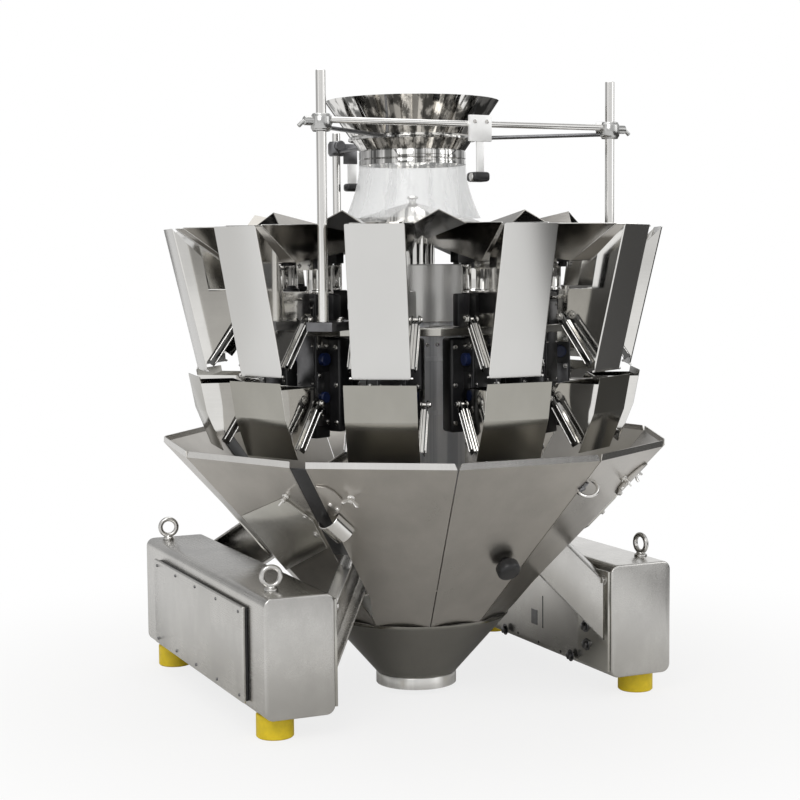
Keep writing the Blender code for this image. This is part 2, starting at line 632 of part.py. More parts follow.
def base_box(side):
    """A long box whose lengthwise edges are bent round."""
    r = BASE_BEND_RADIUS
    corners = ((BASE_OUTER_X - r, BASE_TOP_Z - r, 0), (BASE_INNER_X + r, BASE_TOP_Z - r, 90),
               (BASE_INNER_X + r, BASE_BOTTOM_Z + r, 180), (BASE_OUTER_X - r, BASE_BOTTOM_Z + r, 270))
    outline = []
    for x, z, start in corners:
        outline += pivot_eye((x, z), start, start + 90, r, 3)
    return prism([(side * x, z) for x, z in outline], BASE_FRONT_Y, BASE_REAR_Y,
                 lambda x, z, y: (x, y, z))


def make_base(steel, yellow, machine):
    """Base boxes, their bolted covers and the four feet."""
    for side, label in ((-1, "left"), (1, "right")):
        add(f"base_{label}", base_box(side), steel, machine)
        cover_x = sorted((side * (BASE_OUTER_X + SEAT_GAP),
                          side * (BASE_OUTER_X + SEAT_GAP + COVER_DEPTH)))
        cover = block(cover_x, (COVER_FRONT_Y, COVER_REAR_Y), (COVER_BOTTOM_Z, COVER_TOP_Z))
        add(f"cover_{label}", cover, steel, machine)
        for y, end in ((BASE_FRONT_Y + FOOT_INSET_Y, "front"), (BASE_REAR_Y - FOOT_INSET_Y, "rear")):
            foot = rod((side * FOOT_X, y, 0.0), (side * FOOT_X, y, BASE_BOTTOM_Z - SEAT_GAP),
                       FOOT_RADIUS, 24)
            add(f"foot_{end}_{label}", foot, yellow, machine)


def ring_point(slot, radius, z):
    """A point of the ring, at a place counted in heads from the front one."""
    angle = math.radians(head_angle(slot))
    return (radius * math.sin(angle), -radius * math.cos(angle), z)


def make_infeed(steel, clear, machine):
    """Stand, funnel and skirt above the dispersion cone."""
    pieces = [lathe([(HOLDER_RADIUS - HOLDER_THICKNESS, HOLDER_Z - 0.006),
                     (HOLDER_RADIUS, HOLDER_Z - 0.006), (HOLDER_RADIUS, HOLDER_Z + 0.006),
                     (HOLDER_RADIUS - HOLDER_THICKNESS, HOLDER_Z + 0.006)], ROUND_SIDES)]
    for slot in POST_SLOTS:
        top = REAR_POST_TOP_Z if slot == POST_SLOTS[2] else POST_TOP_Z
        pieces.append(rod(ring_point(slot, POST_RING_RADIUS, POST_FOOT_Z + SEAT_GAP),
                          ring_point(slot, POST_RING_RADIUS, top), POST_RADIUS))
        pieces.append(rod(ring_point(slot, POST_RING_RADIUS, HOLDER_Z - 0.012),
                          ring_point(slot, POST_RING_RADIUS, FRONT_ROD_Z + 0.014), CLAMP_RADIUS))
        pieces.append(rod(ring_point(slot, POST_RING_RADIUS, HOLDER_Z),
                          ring_point(slot, HOLDER_RADIUS - HOLDER_THICKNESS / 2, HOLDER_Z), 0.004))
    left, right = (ring_point(slot, POST_RING_RADIUS, FRONT_ROD_Z) for slot in POST_SLOTS[:2])
    pieces.append(rod(left, right, FRONT_ROD_RADIUS))
    bar_y = left[1]
    for half, y_range, z_range in (
            (SENSOR_PLATE_HALF_WIDTH, (bar_y - 0.012, bar_y - 0.004),
             (SENSOR_PLATE_BOTTOM_Z, SENSOR_PLATE_TOP_Z)),
            (SENSOR_STEM_HALF_WIDTH, (bar_y - 0.010, bar_y - 0.0055),
             (SENSOR_STEM_BOTTOM_Z, SENSOR_PLATE_BOTTOM_Z + SHEET * 2)),
            (SENSOR_HALF_WIDTH, (bar_y - SENSOR_HALF_WIDTH, bar_y + SENSOR_HALF_WIDTH),
             (SENSOR_BOTTOM_Z, SENSOR_TOP_Z))):
        pieces.append(block((SENSOR_X - half, SENSOR_X + half), y_range, z_range))
    add("infeed_stand", combine(pieces), steel, machine)
    funnel = [(FUNNEL_RIM_RADIUS, FUNNEL_RIM_Z), (FUNNEL_NECK_RADIUS, FUNNEL_NECK_Z),
              (FUNNEL_NECK_RADIUS + COLLAR_BAND, FUNNEL_NECK_Z - 0.003),
              (FUNNEL_NECK_RADIUS + COLLAR_BAND, COLLAR_BOTTOM_Z),
              (FUNNEL_NECK_RADIUS - SHEET, COLLAR_BOTTOM_Z),
              (FUNNEL_NECK_RADIUS - SHEET, FUNNEL_NECK_Z), (FUNNEL_RIM_RADIUS - 0.003, FUNNEL_RIM_Z)]
    add("infeed_funnel", lathe(funnel, ROUND_SIDES), steel, machine)
    outer, inner = [], []
    for i in range(SKIRT_STEPS + 1):
        t = i / SKIRT_STEPS
        radius = FUNNEL_NECK_RADIUS + COLLAR_BAND
        radius += (SKIRT_BOTTOM_RADIUS - radius) * t ** 1.7
        z = COLLAR_BOTTOM_Z - SEAT_GAP + (SKIRT_BOTTOM_Z - COLLAR_BOTTOM_Z) * t
        outer.append((radius, z))
        inner.append((radius - SHEET, z))
    add("infeed_skirt", lathe(outer + inner[::-1], ROUND_SIDES), clear, machine)


def build():
    """Make the whole machine."""
    clear_scene()
    steel = make_material("stainless", (0.62, 0.61, 0.59), 0.3, 1.0)
    yellow = make_material("foot_yellow", (0.80, 0.68, 0.06), 0.5, 0.0)
    clear = make_material("clear_plastic", (0.85, 0.86, 0.86), 0.1, 0.0)
    machine = bpy.data.objects.new("machine", None)
    bpy.context.scene.collection.objects.link(machine)
    machine.location = (0.0, (FEED_TOP[0] - CHUTE_RIM_RADIUS) / 2, 0.0)
    make_hoppers(steel, machine)
    make_body(steel, machine)
    make_feeders(steel, machine)
    make_cone(steel, machine)
    make_chute(steel, machine)
    make_base(steel, yellow, machine)
    make_infeed(steel, clear, machine)


build()
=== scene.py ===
"""The look of an eleven-head multihead weigher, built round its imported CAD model.

Metres, +Z up, front towards -Y. A piece of a head is drawn in that head's own section, with
u outwards from the ring's axis, v sideways along the ring and z up, and is then turned to
its place. Everything else is drawn round the ring's axis and moved to it as a whole.
"""

import json
import math

import bmesh
import bpy
from mathutils import Matrix, Vector

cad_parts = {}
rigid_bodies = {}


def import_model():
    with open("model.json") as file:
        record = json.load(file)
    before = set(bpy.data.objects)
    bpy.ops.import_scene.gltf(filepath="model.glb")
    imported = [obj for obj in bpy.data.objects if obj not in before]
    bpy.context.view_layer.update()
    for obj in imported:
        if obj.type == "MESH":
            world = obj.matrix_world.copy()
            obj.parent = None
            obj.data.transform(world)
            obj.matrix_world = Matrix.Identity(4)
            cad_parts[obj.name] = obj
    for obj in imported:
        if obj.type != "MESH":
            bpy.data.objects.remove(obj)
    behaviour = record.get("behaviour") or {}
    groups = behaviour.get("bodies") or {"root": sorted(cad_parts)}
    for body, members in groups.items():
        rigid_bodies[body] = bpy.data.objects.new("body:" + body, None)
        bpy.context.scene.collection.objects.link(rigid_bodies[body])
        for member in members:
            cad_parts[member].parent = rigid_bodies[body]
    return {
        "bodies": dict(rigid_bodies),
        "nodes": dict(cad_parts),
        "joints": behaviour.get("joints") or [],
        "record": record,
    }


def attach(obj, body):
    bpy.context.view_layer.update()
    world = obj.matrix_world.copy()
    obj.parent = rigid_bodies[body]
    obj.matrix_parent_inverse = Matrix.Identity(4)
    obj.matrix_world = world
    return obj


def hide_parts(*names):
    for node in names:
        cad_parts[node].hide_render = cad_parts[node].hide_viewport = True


# Ring of heads
AXIS_Y = -0.008
HEADS = 11
HEAD_STEP = 360.0 / HEADS
LEGS = ((-1.5, "front_left"), (1.5, "front_right"), (4.5, "rear_right"), (-4.5, "rear_left"))
POST_SLOTS = (-1.5, 1.5, 5.5)

# Sheet metal
SHEET = 0.0016
BEND = 0.0028
EDGE = 0.0007

# Fasteners
WASHER = 0.0015
HEXAGON_SPIN = 0.2

# Feed hoppers
FEED_TOP = (0.514, 0.9725)
FEED_BOTTOM = (0.4485, 0.6875)
FEED_HALF_WIDTH = 0.0556
FEED_SIDE_TOP = (0.5095, 0.9680)
FEED_SIDE_NOTCH = (0.4544, 0.9158)
FEED_SIDE_KNEE = (0.4425, 0.8486)
FEED_REAR = 0.3715
FEED_PIVOT = (0.377, 0.795)
FEED_DOOR_SLOPE = 55.5

# Weigh hoppers
WEIGH_TOP = (0.4664, 0.678)
WEIGH_FOLD = (0.4530, 0.608)
WEIGH_BOTTOM = (0.4215, 0.530)
WEIGH_HALF_WIDTH = 0.0684
WEIGH_REAR = 0.372
WEIGH_REAR_TOP = 0.6655
WEIGH_PIVOT = (0.362, 0.634)
WEIGH_DOOR_SLOPE = 58.5

# Doors
LIP_LIFT = 0.012
DOOR_GAP = 0.005
ARM_HALF_WIDTH = 0.0085
EYE_RADIUS = 0.0095
PIN_RADIUS = 0.004

# Central body. A slot is a place round the ring, counted in heads from the front one.
COLUMN_RADIUS = 0.114
COLUMN_BOTTOM = 0.405
COLUMN_CHAMFER = 0.03
COLUMN_SCREWS_Z = 0.735
HOOP_BOTTOMS = (0.700, 0.590, 0.470)
HOOP_HEIGHT = 0.010
DRUM_RADIUS = 0.1234
DRUM_BOTTOM = 0.7806
DRUM_TOP = 0.898
THIN_RODS = 6
THIN_ROD_FIRST_SLOT = -0.76
THIN_ROD_GAP = 0.006
THIN_ROD_BOTTOM = 0.715
THIN_ROD_LENGTH = 0.095
THIN_ROD_RADIUS = 0.0030
THIN_ROD_NUT_LIFTS = (0.0, 0.050)
RING_INNER = 0.270
RING_OUTER = 0.345
RING_BOTTOM = 0.762
RING_TOP = 0.777
DRIVE_INNER = 0.285
DRIVE_OUTER = 0.325
DRIVE_HALF_WIDTH = 0.026
DRIVE_BOTTOM = 0.560
DRIVE_TOP = 0.842
MOTOR_DEPTH = 0.036
MOTOR_HALF_WIDTH = 0.056
MOTOR_BOTTOM = 0.572
MOTOR_TOP = 0.756
MOTOR_BOLTS_Z = (0.590, 0.664, 0.738)
NECK_DEPTH = 0.020
NECK_HALF_WIDTH = 0.040
SEATED = 0.004
LID_HALF_WIDTH = 0.023
LID_BOTTOM = 0.662
LID_TOP = 0.822
LID_RAISED = 0.0018
CHEEK_INSET = 0.004
CHEEK_RAISED = 0.0020
UPPER_CHEEK = (0.735, 0.802)
LOWER_CHEEK = (0.585, 0.690)
HANGER_HALF_WIDTH = 0.020
HANGER_THICKNESS = 0.006
FEED_HANGER_Z = 0.828
WEIGH_HANGER_Z = 0.650
JUNCTION_INNER = 0.272
JUNCTION_OUTER = 0.318
JUNCTION_HALF_WIDTH = 0.021
JUNCTION_TOP = 0.833
NO_JUNCTION_SLOTS = (0.5, 1.5, 5.5, 9.5, 10.5)
SPOKE_HALF_WIDTH = 0.018
SPOKE_BOTTOM = 0.7645
SPOKE_TOP = 0.7745
POST_PLATE_INNER = 0.290
POST_PLATE_OUTER = 0.432
POST_PLATE_HALF_WIDTH = 0.027
POST_PLATE_BOLTS_U = (0.300, 0.385)
POST_PLATE_BOLT_V = 0.020

# Feeder pans: roofs slope from the ridges to the brows, walls from the brows to the floor
PAN_INNER = 0.125
PAN_RIDGE_RADIUS = 0.330
PAN_RIDGE_TOP = 1.0035
PAN_RIDGE_INNER_TOP = 0.958
PAN_BROW_INNER_Z = 0.9505
PAN_BROW_INNER_HALF_WIDTH = 0.025
PAN_BROW_START = (0.345, 0.9765)
PAN_BROW_END = (0.490, 0.974)
PAN_BROW_HALF_WIDTH = 0.0485
PAN_FLOOR_INNER_Z = 0.942
PAN_FLOOR_INNER_HALF_WIDTH = 0.020
PAN_FLOOR_MIDDLE = 0.365
PAN_FLOOR_END = (0.392, 0.905)
PAN_FLOOR_HALF_WIDTH = 0.041
BRACKET_INNER = 0.262
BRACKET_OUTER = 0.325
BRACKET_BOTTOM_Z = 0.893
CAN_U = 0.284
CAN_RADIUS = 0.027
CAN_TOP_Z = 0.898

# Chute and discharge
CHUTE_RIM_RADIUS = 0.530
CHUTE_RIM_Z = 0.5405
CHUTE_LIP_HEIGHT = 0.012
CHUTE_BOTTOM_RADIUS = 0.1976
CHUTE_BOTTOM_Z = 0.170
SEAM = 0.0012
SLOT_HALF_WIDTH = 0.0165
SLOT_START = 0.215
SLOT_RAMP = 0.047
OUTLET_RADIUS = 0.0840
OUTLET_TOP_Z = 0.036
OUTLET_BOTTOM_Z = 0.012
DISCHARGE_RIM_RADIUS = 0.1965

# Fittings on the chute's facets. A place there is (rise, along), or (rise, along, lift) off the face.
STRAP_OUTLINE = ((0.318, -0.105), (0.391, 0.0565), (0.331, 0.0976), (0.250, 0.0826), (0.1535, -0.0933))
FLAP_OUTLINE = ((0.436, -0.118), (0.432, -0.100), (0.420, -0.086), (0.399, -0.0745), (0.372, -0.076),
                (0.350, -0.095), (0.352, -0.104))
STRAP_WING = (0.396, 0.068)
FLAP_WING = (0.402, 0.057)
FLAP_SCREWS = ((0.385, 0.098), (0.372, 0.086))
STRAP_BOLTS = ((0.345, 0.088), (0.292, 0.082))
PLATE_LOW = 0.0003
PLATE_HIGH = 0.0045
BRIDGED_SLOTS = (-1.5, 4.5)
BRIDGE_PLACE = (0.321, 0.095)
BRIDGE_RADIUS = 0.0245
BRIDGE_HALF_LENGTH = 0.025
SLOT_SHADE_START = 0.352
PULL_FACET = 1
PULL_ROOT = (0.4080, -0.133)
PULL_CENTRE = (0.4090, -0.121, 0.007)
PULL_FOOT = ((0.388, -0.129), (0.420, -0.137), (0.420, -0.124), (0.388, -0.120))
PULL_AXIS = (-0.314, -0.673, 0.669)
PULL_RADIUS = 0.0190
KNOB_PLACE = (0.197, 0.0435)

# Base
BASE_INNER_X = 0.3055
BASE_OUTER_X = 0.4483
BASE_FRONT_Y = -0.2934
BASE_REAR_Y = 0.4890
BASE_BOTTOM_Z = 0.0465
BASE_TOP_Z = 0.2810
BASE_BEND = 0.018
COVER_FRONT_Y = -0.205
COVER_REAR_Y = 0.385
COVER_BOTTOM_Z = 0.064
COVER_TOP_Z = 0.251
COVER_DEPTH = 0.012
BLACK_STRIP = 0.0055
COVER_SCREW_ROWS = 5
FOOT_RADIUS = 0.0365
FOOT_X = 0.405
FOOT_INSET_Y = 0.0664
INNER_BOLTS = ((-0.200, 0.139), (-0.205, 0.101), (-0.140, 0.064), (0.155, 0.062), (0.205, 0.101))
INNER_BOLT_STAND = 0.0065
INNER_PLUGS = ((0.107, 0.063), (0.012, 0.061), (-0.085, 0.060))
CABLE_SLIT = ((-0.0085, -0.0055), (0.096, 0.168))
SMALL_FRAME = ((0.017, 0.044), (0.098, 0.131))
EYE_ROWS_Y = (-0.220, 0.452)
EYES = ((-0.406, (0.20, 1, 0)), (0.422, (1.0, 0.10, 0)))
EYE_RING_RADIUS = 0.0180
EYE_WIRE_RADIUS = 0.0052
EYE_CENTRE_HEIGHT = 0.0275

# Legs
LEG_END_BOTTOM_Z = 0.124
LEG_END_TOP_Z = 0.262
LEG_COLUMN_BOTTOM_Z = 0.425
LEG_COLUMN_TOP_Z = 0.545
LEG_HALF_WIDTH = 0.0135
LEG_WEB = 0.004
LEG_FLANGE = 0.0055
LEG_INNER = 0.094
LEG_CUT_HEIGHT = 0.018
LEG_CUT_LENGTH = 0.012
PAD_LENGTH = 0.120
PAD_BOTTOM_Z = 0.060
PAD_TOP_Z = 0.268
PAD_FACE = 0.0065
PAD_GAP = 0.0005
PAD_END_GAP = 0.004
PAD_BOLTS_Y = 0.045
PAD_BOLTS_Z = 0.250

# Infeed
POST_RADIUS = 0.0095
POST_RING_RADIUS = 0.4137
POST_TOP_Z = 1.260
REAR_POST_TOP_Z = 1.199
POST_FOOT_Z = 0.792
FRONT_ROD_Z = 1.169
FRONT_ROD_RADIUS = 0.006
ARM_ROD_RADIUS = 0.004
CLAMP_RADIUS = 0.0195
CLAMP_END_RADIUS = 0.0170
CLAMP_BOTTOM_Z = 1.147
CLAMP_TOP_Z = 1.180
CLAMP_SCREW_Z = 1.166
HOLDER_Z = 1.156
HOLDER_OUTER = 0.1330
HOLDER_INNER = 0.1275
HOLDER_HALF_HEIGHT = 0.003
SENSOR_X = 0.0150
SENSOR_HALF_LENGTH = 0.018
SENSOR_BOTTOM_Z = 1.0576
SENSOR_TOP_Z = 1.0764
REAR_SENSOR_BOTTOM_Z = 1.066
REAR_SENSOR_TOP_Z = 1.084
FUNNEL_RIM_RADIUS = 0.181
FUNNEL_RIM_Z = 1.2345
FUNNEL_NECK_RADIUS = 0.1093
FUNNEL_NECK_Z = 1.1315
COLLAR_BOTTOM_Z = 1.1035
SKIRT_BOTTOM_RADIUS = 0.1415
SKIRT_BOTTOM_Z = 0.994
CONE_RADIUS = 0.150
CONE_EDGE_Z = 0.984
CONE_TOP_Z = 1.027
KNOB_RADIUS = 0.012
KNOB_HEIGHT = 0.014

# Studio and camera. A lamp is its name, place, size and power.
STUDIO_HEADING = math.radians(24.5)
LAMPS = (("key", (-2.6, -3.0, 3.2), 2.4, 60.0), ("fill", (3.2, -2.2, 2.0), 2.0, 18.0),
         ("top", (0.0, 0.6, 4.2), 3.0, 50.0))
LAMP_TARGET = (0.0, 0.0, 0.6)
CAMERA_STAND = math.radians(24.9765)
CAMERA_HEADING = math.radians(24.496)
CAMERA_PITCH = math.radians(4.7343)
CAMERA_ROLL = math.radians(-0.4693)
CAMERA_DISTANCE = 3.5453
CAMERA_HEIGHT = 0.9068
FILM_WIDTH_MM = 36.0
FOCAL_PIXELS = 1686.8
PHOTO_PIXELS = 800.0


# Shader trees


class Wire:
    """A socket of a shader tree; arithmetic on it adds Math nodes."""

    def __init__(self, tree, socket):
        self.tree = tree
        self.socket = socket

    def maths(self, operation, first, second=None):
        """Add a Math node whose inputs are wires or numbers."""
        node = self.tree.nodes.new("ShaderNodeMath")
        node.operation = operation
        for slot, value in zip(node.inputs, (first, second)):
            join(self.tree, slot, value)
        return Wire(self.tree, node.outputs[0])

    def __add__(self, other):
        return self.maths("ADD", self, other)

    def __radd__(self, other):
        return self.maths("ADD", other, self)

    def __sub__(self, other):
        return self.maths("SUBTRACT", self, other)

    def __rsub__(self, other):
        return self.maths("SUBTRACT", other, self)

    def __mul__(self, other):
        return self.maths("MULTIPLY", self, other)

    def __rmul__(self, other):
        return self.maths("MULTIPLY", other, self)

    def biggest(self, other):
        return self.maths("MAXIMUM", self, other)


def join(tree, slot, value):
    """Set a socket to a number or colour, or link a wire into it."""
    if isinstance(value, Wire):
        tree.links.new(value.socket, slot)
    elif value is not None:
        slot.default_value = value


class Tree:
    """A node tree that grows by one method."""

    def __init__(self, tree):
        self.tree = tree

    def node(self, kind, settings=None, sockets=None, output=0):
        """Add a node with its settings and sockets, and give one of its outputs, by place or name."""
        made = self.tree.nodes.new("ShaderNode" + kind)
        settings = dict(settings or {})
        stops = settings.pop("stops", None)
        for key, value in settings.items():
            setattr(made, key, value)
        if stops:
            ramp = made.color_ramp
            while len(ramp.elements) < len(stops):
                ramp.elements.new(1.0)
            for element, (place, colour) in zip(ramp.elements, stops):
                element.position = place
                element.color = (*colour, 1.0)
        for key, value in (sockets or {}).items():
            join(self.tree, made.inputs[key], value)
        return Wire(self.tree, made.outputs[output])

    def blend(self, mask, first, second):
        """Colour that goes from first to second as the mask goes from 0 to 1."""
        # A Mix node's colour sockets share their names with others, so they go by their places.
        return self.node("Mix", {"data_type": "RGBA"}, {"Factor": mask, 6: first, 7: second}, 2)

    def along(self, direction, axis):
        """How far a direction points along an axis, from -1 to 1."""
        return self.node("VectorMath", {"operation": "DOT_PRODUCT"}, {0: direction, 1: axis}, "Value")

    def ramp(self, value, low, high, start=0.0, end=1.0):
        """Smooth step from start to end while value runs from low to high."""
        return self.node("MapRange", {"interpolation_type": "SMOOTHSTEP"},
                         {"Value": value, "From Min": low, "From Max": high,
                          "To Min": start, "To Max": end})

    def noise(self, stretch, scale, detail=4.0, roughness=0.55):
        """Noise over the piece's own coordinates, stretched along one or more axes."""
        coordinates = self.node("TexCoord", output="Object")
        fitted = self.node("Mapping", {}, {"Vector": coordinates, "Scale": stretch})
        return self.node("TexNoise", {}, {"Vector": fitted, "Scale": scale, "Detail": detail,
                                          "Roughness": roughness})


def new_finish(name, **sockets):
    """A material with its Principled shader, and the tree that feeds it."""
    material = bpy.data.materials.new(name)
    material.use_nodes = True
    shader = material.node_tree.nodes["Principled BSDF"]
    for key, value in sockets.items():
        shader.inputs[key.replace("_", " ")].default_value = value
    return material, Tree(material.node_tree), shader


def feed(tree, shader, **sockets):
    """Link what varies over the surface into a shader."""
    for key, value in sockets.items():
        join(tree.tree, shader.inputs[key.replace("_", " ")], value)


def brushed(name, colour, roughness, grain, spread=0.10, smudge=0.10, lift=0.05, streak=0.03):
    """Sheet steel: fine lines along one direction, soft cloudy smudges, a faint bump."""
    material, tree, shader = new_finish(name, Metallic=1.0)
    lines = tree.noise(grain, 1.0, 6.0, 0.7)
    clouds = tree.noise((1.0, 1.0, 1.0), 9.0, 3.0, 0.5)
    wipes = tree.noise((1.0, 1.0, 0.35), 28.0, 4.0, 0.6)
    dark = tuple(c * (1.0 - smudge) for c in colour)
    light = tuple(min(1.0, c * (1.0 + smudge * 0.6)) for c in colour)
    tone = tree.ramp(clouds * 0.7 + wipes * 0.3, 0.36, 0.66)
    shade = tree.blend(tone, (*dark, 1.0), (*light, 1.0))
    line_tone = tree.ramp(lines, 0.25, 0.75, 1.0 - streak, 1.0 + streak)
    combined = tree.node("VectorMath", {"operation": "SCALE"}, {0: shade, "Scale": line_tone})
    rough = roughness + (lines - 0.5) * spread + (clouds - 0.5) * spread
    bump = tree.node("Bump", {}, {"Strength": lift, "Distance": 0.0004, "Height": lines})
    feed(tree, shader, Base_Color=combined, Roughness=rough, Normal=bump)
    return material


def plain(name, colour, roughness, metallic=0.0, mottle=0.06, scale=60.0, bump=0.02):
    """Moulded or painted stuff: an even colour with a slight mottle and orange peel."""
    material, tree, shader = new_finish(name, Metallic=metallic)
    grain = tree.noise((1.0, 1.0, 1.0), scale, 4.0, 0.6)
    tone = tree.ramp(grain, 0.3, 0.7)
    low = tuple(c * (1.0 - mottle) for c in colour)
    high = tuple(min(1.0, c * (1.0 + mottle)) for c in colour)
    lift = tree.node("Bump", {}, {"Strength": bump * 5, "Distance": 0.0003, "Height": grain})
    feed(tree, shader, Base_Color=tree.blend(tone, (*low, 1.0), (*high, 1.0)),
         Roughness=roughness + (grain - 0.5) * 0.12, Normal=lift)
    return material


def reflection_banded(name, dark, light, roughness, stretch, low=0.42, high=0.58, metallic=1.0):
    """Polished sheet with soft light and dark bands that run along one direction: painted reflection
    streaks.
    """
    material, tree, shader = new_finish(name, Metallic=metallic)
    bands = tree.noise(stretch, 1.0, 3.0, 0.5)
    fine = tree.noise(tuple(6.0 * s for s in stretch), 1.0, 4.0, 0.6)
    tone = tree.ramp(bands * 0.8 + fine * 0.2, low, high)
    feed(tree, shader, Base_Color=tree.blend(tone, (*dark, 1.0), (*light, 1.0)),
         Roughness=roughness + (fine - 0.5) * 0.05)
    return material


def clear_sheet(name):
    """Thin clear plastic that shows by its reflections, with painted highlights: soft whiter streak marks
    and a whiter edge where it turns away, both made by raising its alpha.
    """
    material, tree, shader = new_finish(name, IOR=1.5, Roughness=0.06)
    highlight_streaks = tree.noise((26.0, 26.0, 1.2), 1.0, 3.0, 0.6)
    edge = tree.node("LayerWeight", {}, {"Blend": 0.35}, "Facing")
    # Painted highlights: whiter where the streak noise and the grazing edge raise the alpha.
    painted_sheen_alpha = 0.15 + tree.ramp(highlight_streaks, 0.50, 0.72) * 0.22 + edge * 0.38
    feed(tree, shader, Alpha=painted_sheen_alpha, Base_Color=(0.93, 0.94, 0.94, 1.0))
    return material


def make_finishes():
    """All finishes of the machine, by a short name."""
    return {
        "sheet": brushed("satin_sheet", (0.64, 0.635, 0.62), 0.20, (10.0, 10.0, 900.0),
                         spread=0.03, smudge=0.015, lift=0.01, streak=0.006),
        "side": brushed("side_sheet", (0.60, 0.59, 0.57), 0.12, (10.0, 10.0, 700.0),
                        spread=0.06, smudge=0.06),
        "mirror": brushed("mirror_sheet", (0.70, 0.69, 0.665), 0.06, (8.0, 8.0, 600.0),
                          spread=0.03, smudge=0.05, lift=0.02),
        "weigh": brushed("weigh_sheet", (0.36, 0.35, 0.315), 0.16, (12.0, 12.0, 700.0),
                         spread=0.04, smudge=0.05, lift=0.01, streak=0.008),
        "lower": brushed("lower_sheet", (0.50, 0.49, 0.455), 0.20, (12.0, 12.0, 800.0),
                         spread=0.08, smudge=0.08, lift=0.03),
        "pan": brushed("pan_sheet", (0.34, 0.325, 0.30), 0.13, (14.0, 14.0, 500.0),
                       spread=0.06, smudge=0.12, lift=0.02),
        # Painted shade: the pans' undersides are drawn near black for the deep shade under the pleats.
        "under": plain("pan_underside_painted_shade", (0.020, 0.019, 0.019), 0.12, mottle=0.3, scale=30.0, bump=0.01),
        "chute": brushed("chute_sheet", (0.46, 0.44, 0.41), 0.30, (500.0, 500.0, 12.0),
                         spread=0.10, smudge=0.08, lift=0.03),
        "base": brushed("base_sheet", (0.56, 0.55, 0.53), 0.26, (900.0, 12.0, 900.0),
                        spread=0.12, smudge=0.10),
        "polished": brushed("polished_steel", (0.72, 0.71, 0.69), 0.07, (400.0, 400.0, 10.0),
                            spread=0.05, smudge=0.03),
        # Painted reflection: the banded finishes of the drum, column and funnel paint light and dark bands
        # for what their round polished faces reflect.
        "drum": reflection_banded("drum_steel", (0.78, 0.77, 0.75), (0.98, 0.97, 0.95), 0.26, (22.0, 22.0, 0.3),
                       metallic=0.55),
        "column": reflection_banded("column_steel", (0.62, 0.63, 0.66), (0.96, 0.96, 0.97), 0.30,
                         (34.0, 34.0, 0.4), metallic=0.35),
        "funnel": reflection_banded("funnel_steel_painted_reflection", (0.14, 0.14, 0.135), (0.88, 0.87, 0.85), 0.06,
                         (52.0, 52.0, 0.2), low=0.42, high=0.56),
        # Painted shade: the discharge cone's steel is drawn darker than the other sheet, for the shaded
        # floor under the machine that it reflects.
        "outlet": brushed("outlet_steel_painted_shade", (0.25, 0.243, 0.222), 0.17, (260.0, 260.0, 8.0),
                          spread=0.06, smudge=0.05, lift=0.02),
        "arm": plain("arm_steel", (0.10, 0.10, 0.098), 0.12, metallic=1.0, mottle=0.10, scale=40.0,
                     bump=0.01),
        # Painted light: the lips are a lighter copy of the chute's sheet, as they face the bright front
        # while the facets keep the darker copy.
        "lip": brushed("lip_sheet_painted_light", (0.66, 0.65, 0.63), 0.24, (500.0, 500.0, 12.0),
                       spread=0.08, smudge=0.05, lift=0.02),
        "bracket": plain("bracket_satin", (0.90, 0.90, 0.89), 0.30, metallic=0.25, mottle=0.02,
                         scale=80.0),
        "grip": plain("clamp_steel", (0.50, 0.50, 0.49), 0.20, metallic=1.0, mottle=0.10, scale=30.0),
        "bright": brushed("bright_bar", (0.78, 0.77, 0.75), 0.13, (300.0, 300.0, 8.0),
                          spread=0.05, smudge=0.03),
        "bolt": plain("bolt_steel", (0.55, 0.54, 0.52), 0.22, metallic=1.0, mottle=0.05, scale=220.0),
        "dark": plain("dark_steel", (0.16, 0.16, 0.165), 0.30, metallic=1.0, mottle=0.15, scale=40.0),
        "black": plain("black_plastic", (0.012, 0.012, 0.013), 0.34, mottle=0.2, scale=120.0),
        "blue": plain("blue_plastic", (0.012, 0.022, 0.080), 0.30, mottle=0.1, scale=90.0),
        "yellow": plain("yellow_foot", (0.74, 0.55, 0.012), 0.48, mottle=0.07, scale=70.0),
        "clear": clear_sheet("clear_plastic"),
    }


# Mesh code


def done(work, smooth=32.0):
    """Mesh data from a bmesh, with outward faces and smooth shading up to an angle."""
    bmesh.ops.recalc_face_normals(work, faces=work.faces)
    mesh = bpy.data.meshes.new("shape")
    work.to_mesh(mesh)
    work.free()
    mesh.shade_smooth()
    mesh.set_sharp_from_angle(angle=math.radians(smooth))
    return mesh


def soften(work, size, steps=2, sharper_than=25.0):
    """Round every edge that is sharper than an angle."""
    bmesh.ops.recalc_face_normals(work, faces=work.faces)
    limit = math.radians(sharper_than)
    edges = [e for e in work.edges if len(e.link_faces) == 2 and e.calc_face_angle(0.0) > limit]
    bmesh.ops.bevel(work, geom=edges, offset=size, segments=steps, profile=0.5,
                    affect="EDGES", clamp_overlap=True)


def section_point(u, z, v):
    """A point of the front head's section."""
    return Vector((v, -u, z))


def plain_point(x, y, z):
    """A point as it is, for outlines drawn in X and Y."""
    return Vector((x, y, z))


def prism(outline, low, high, place, edge=EDGE, steps=2):
    """A closed flat outline between two levels, with softened edges."""
    work = bmesh.new()
    near = [work.verts.new(place(a, b, low)) for a, b in outline]
    far = [work.verts.new(place(a, b, high)) for a, b in outline]
    work.faces.new(near)
    work.faces.new(list(reversed(far)))
    for i in range(len(outline)):
        j = (i + 1) % len(outline)
        work.faces.new([near[i], far[i], far[j], near[j]])
    if edge:
        soften(work, edge, steps)
    return done(work)


def section(outline, low, high, edge=EDGE, steps=2):
    """A (u, z) outline of a head, from v = low to v = high."""
    return prism(outline, low, high, section_point, edge, steps)


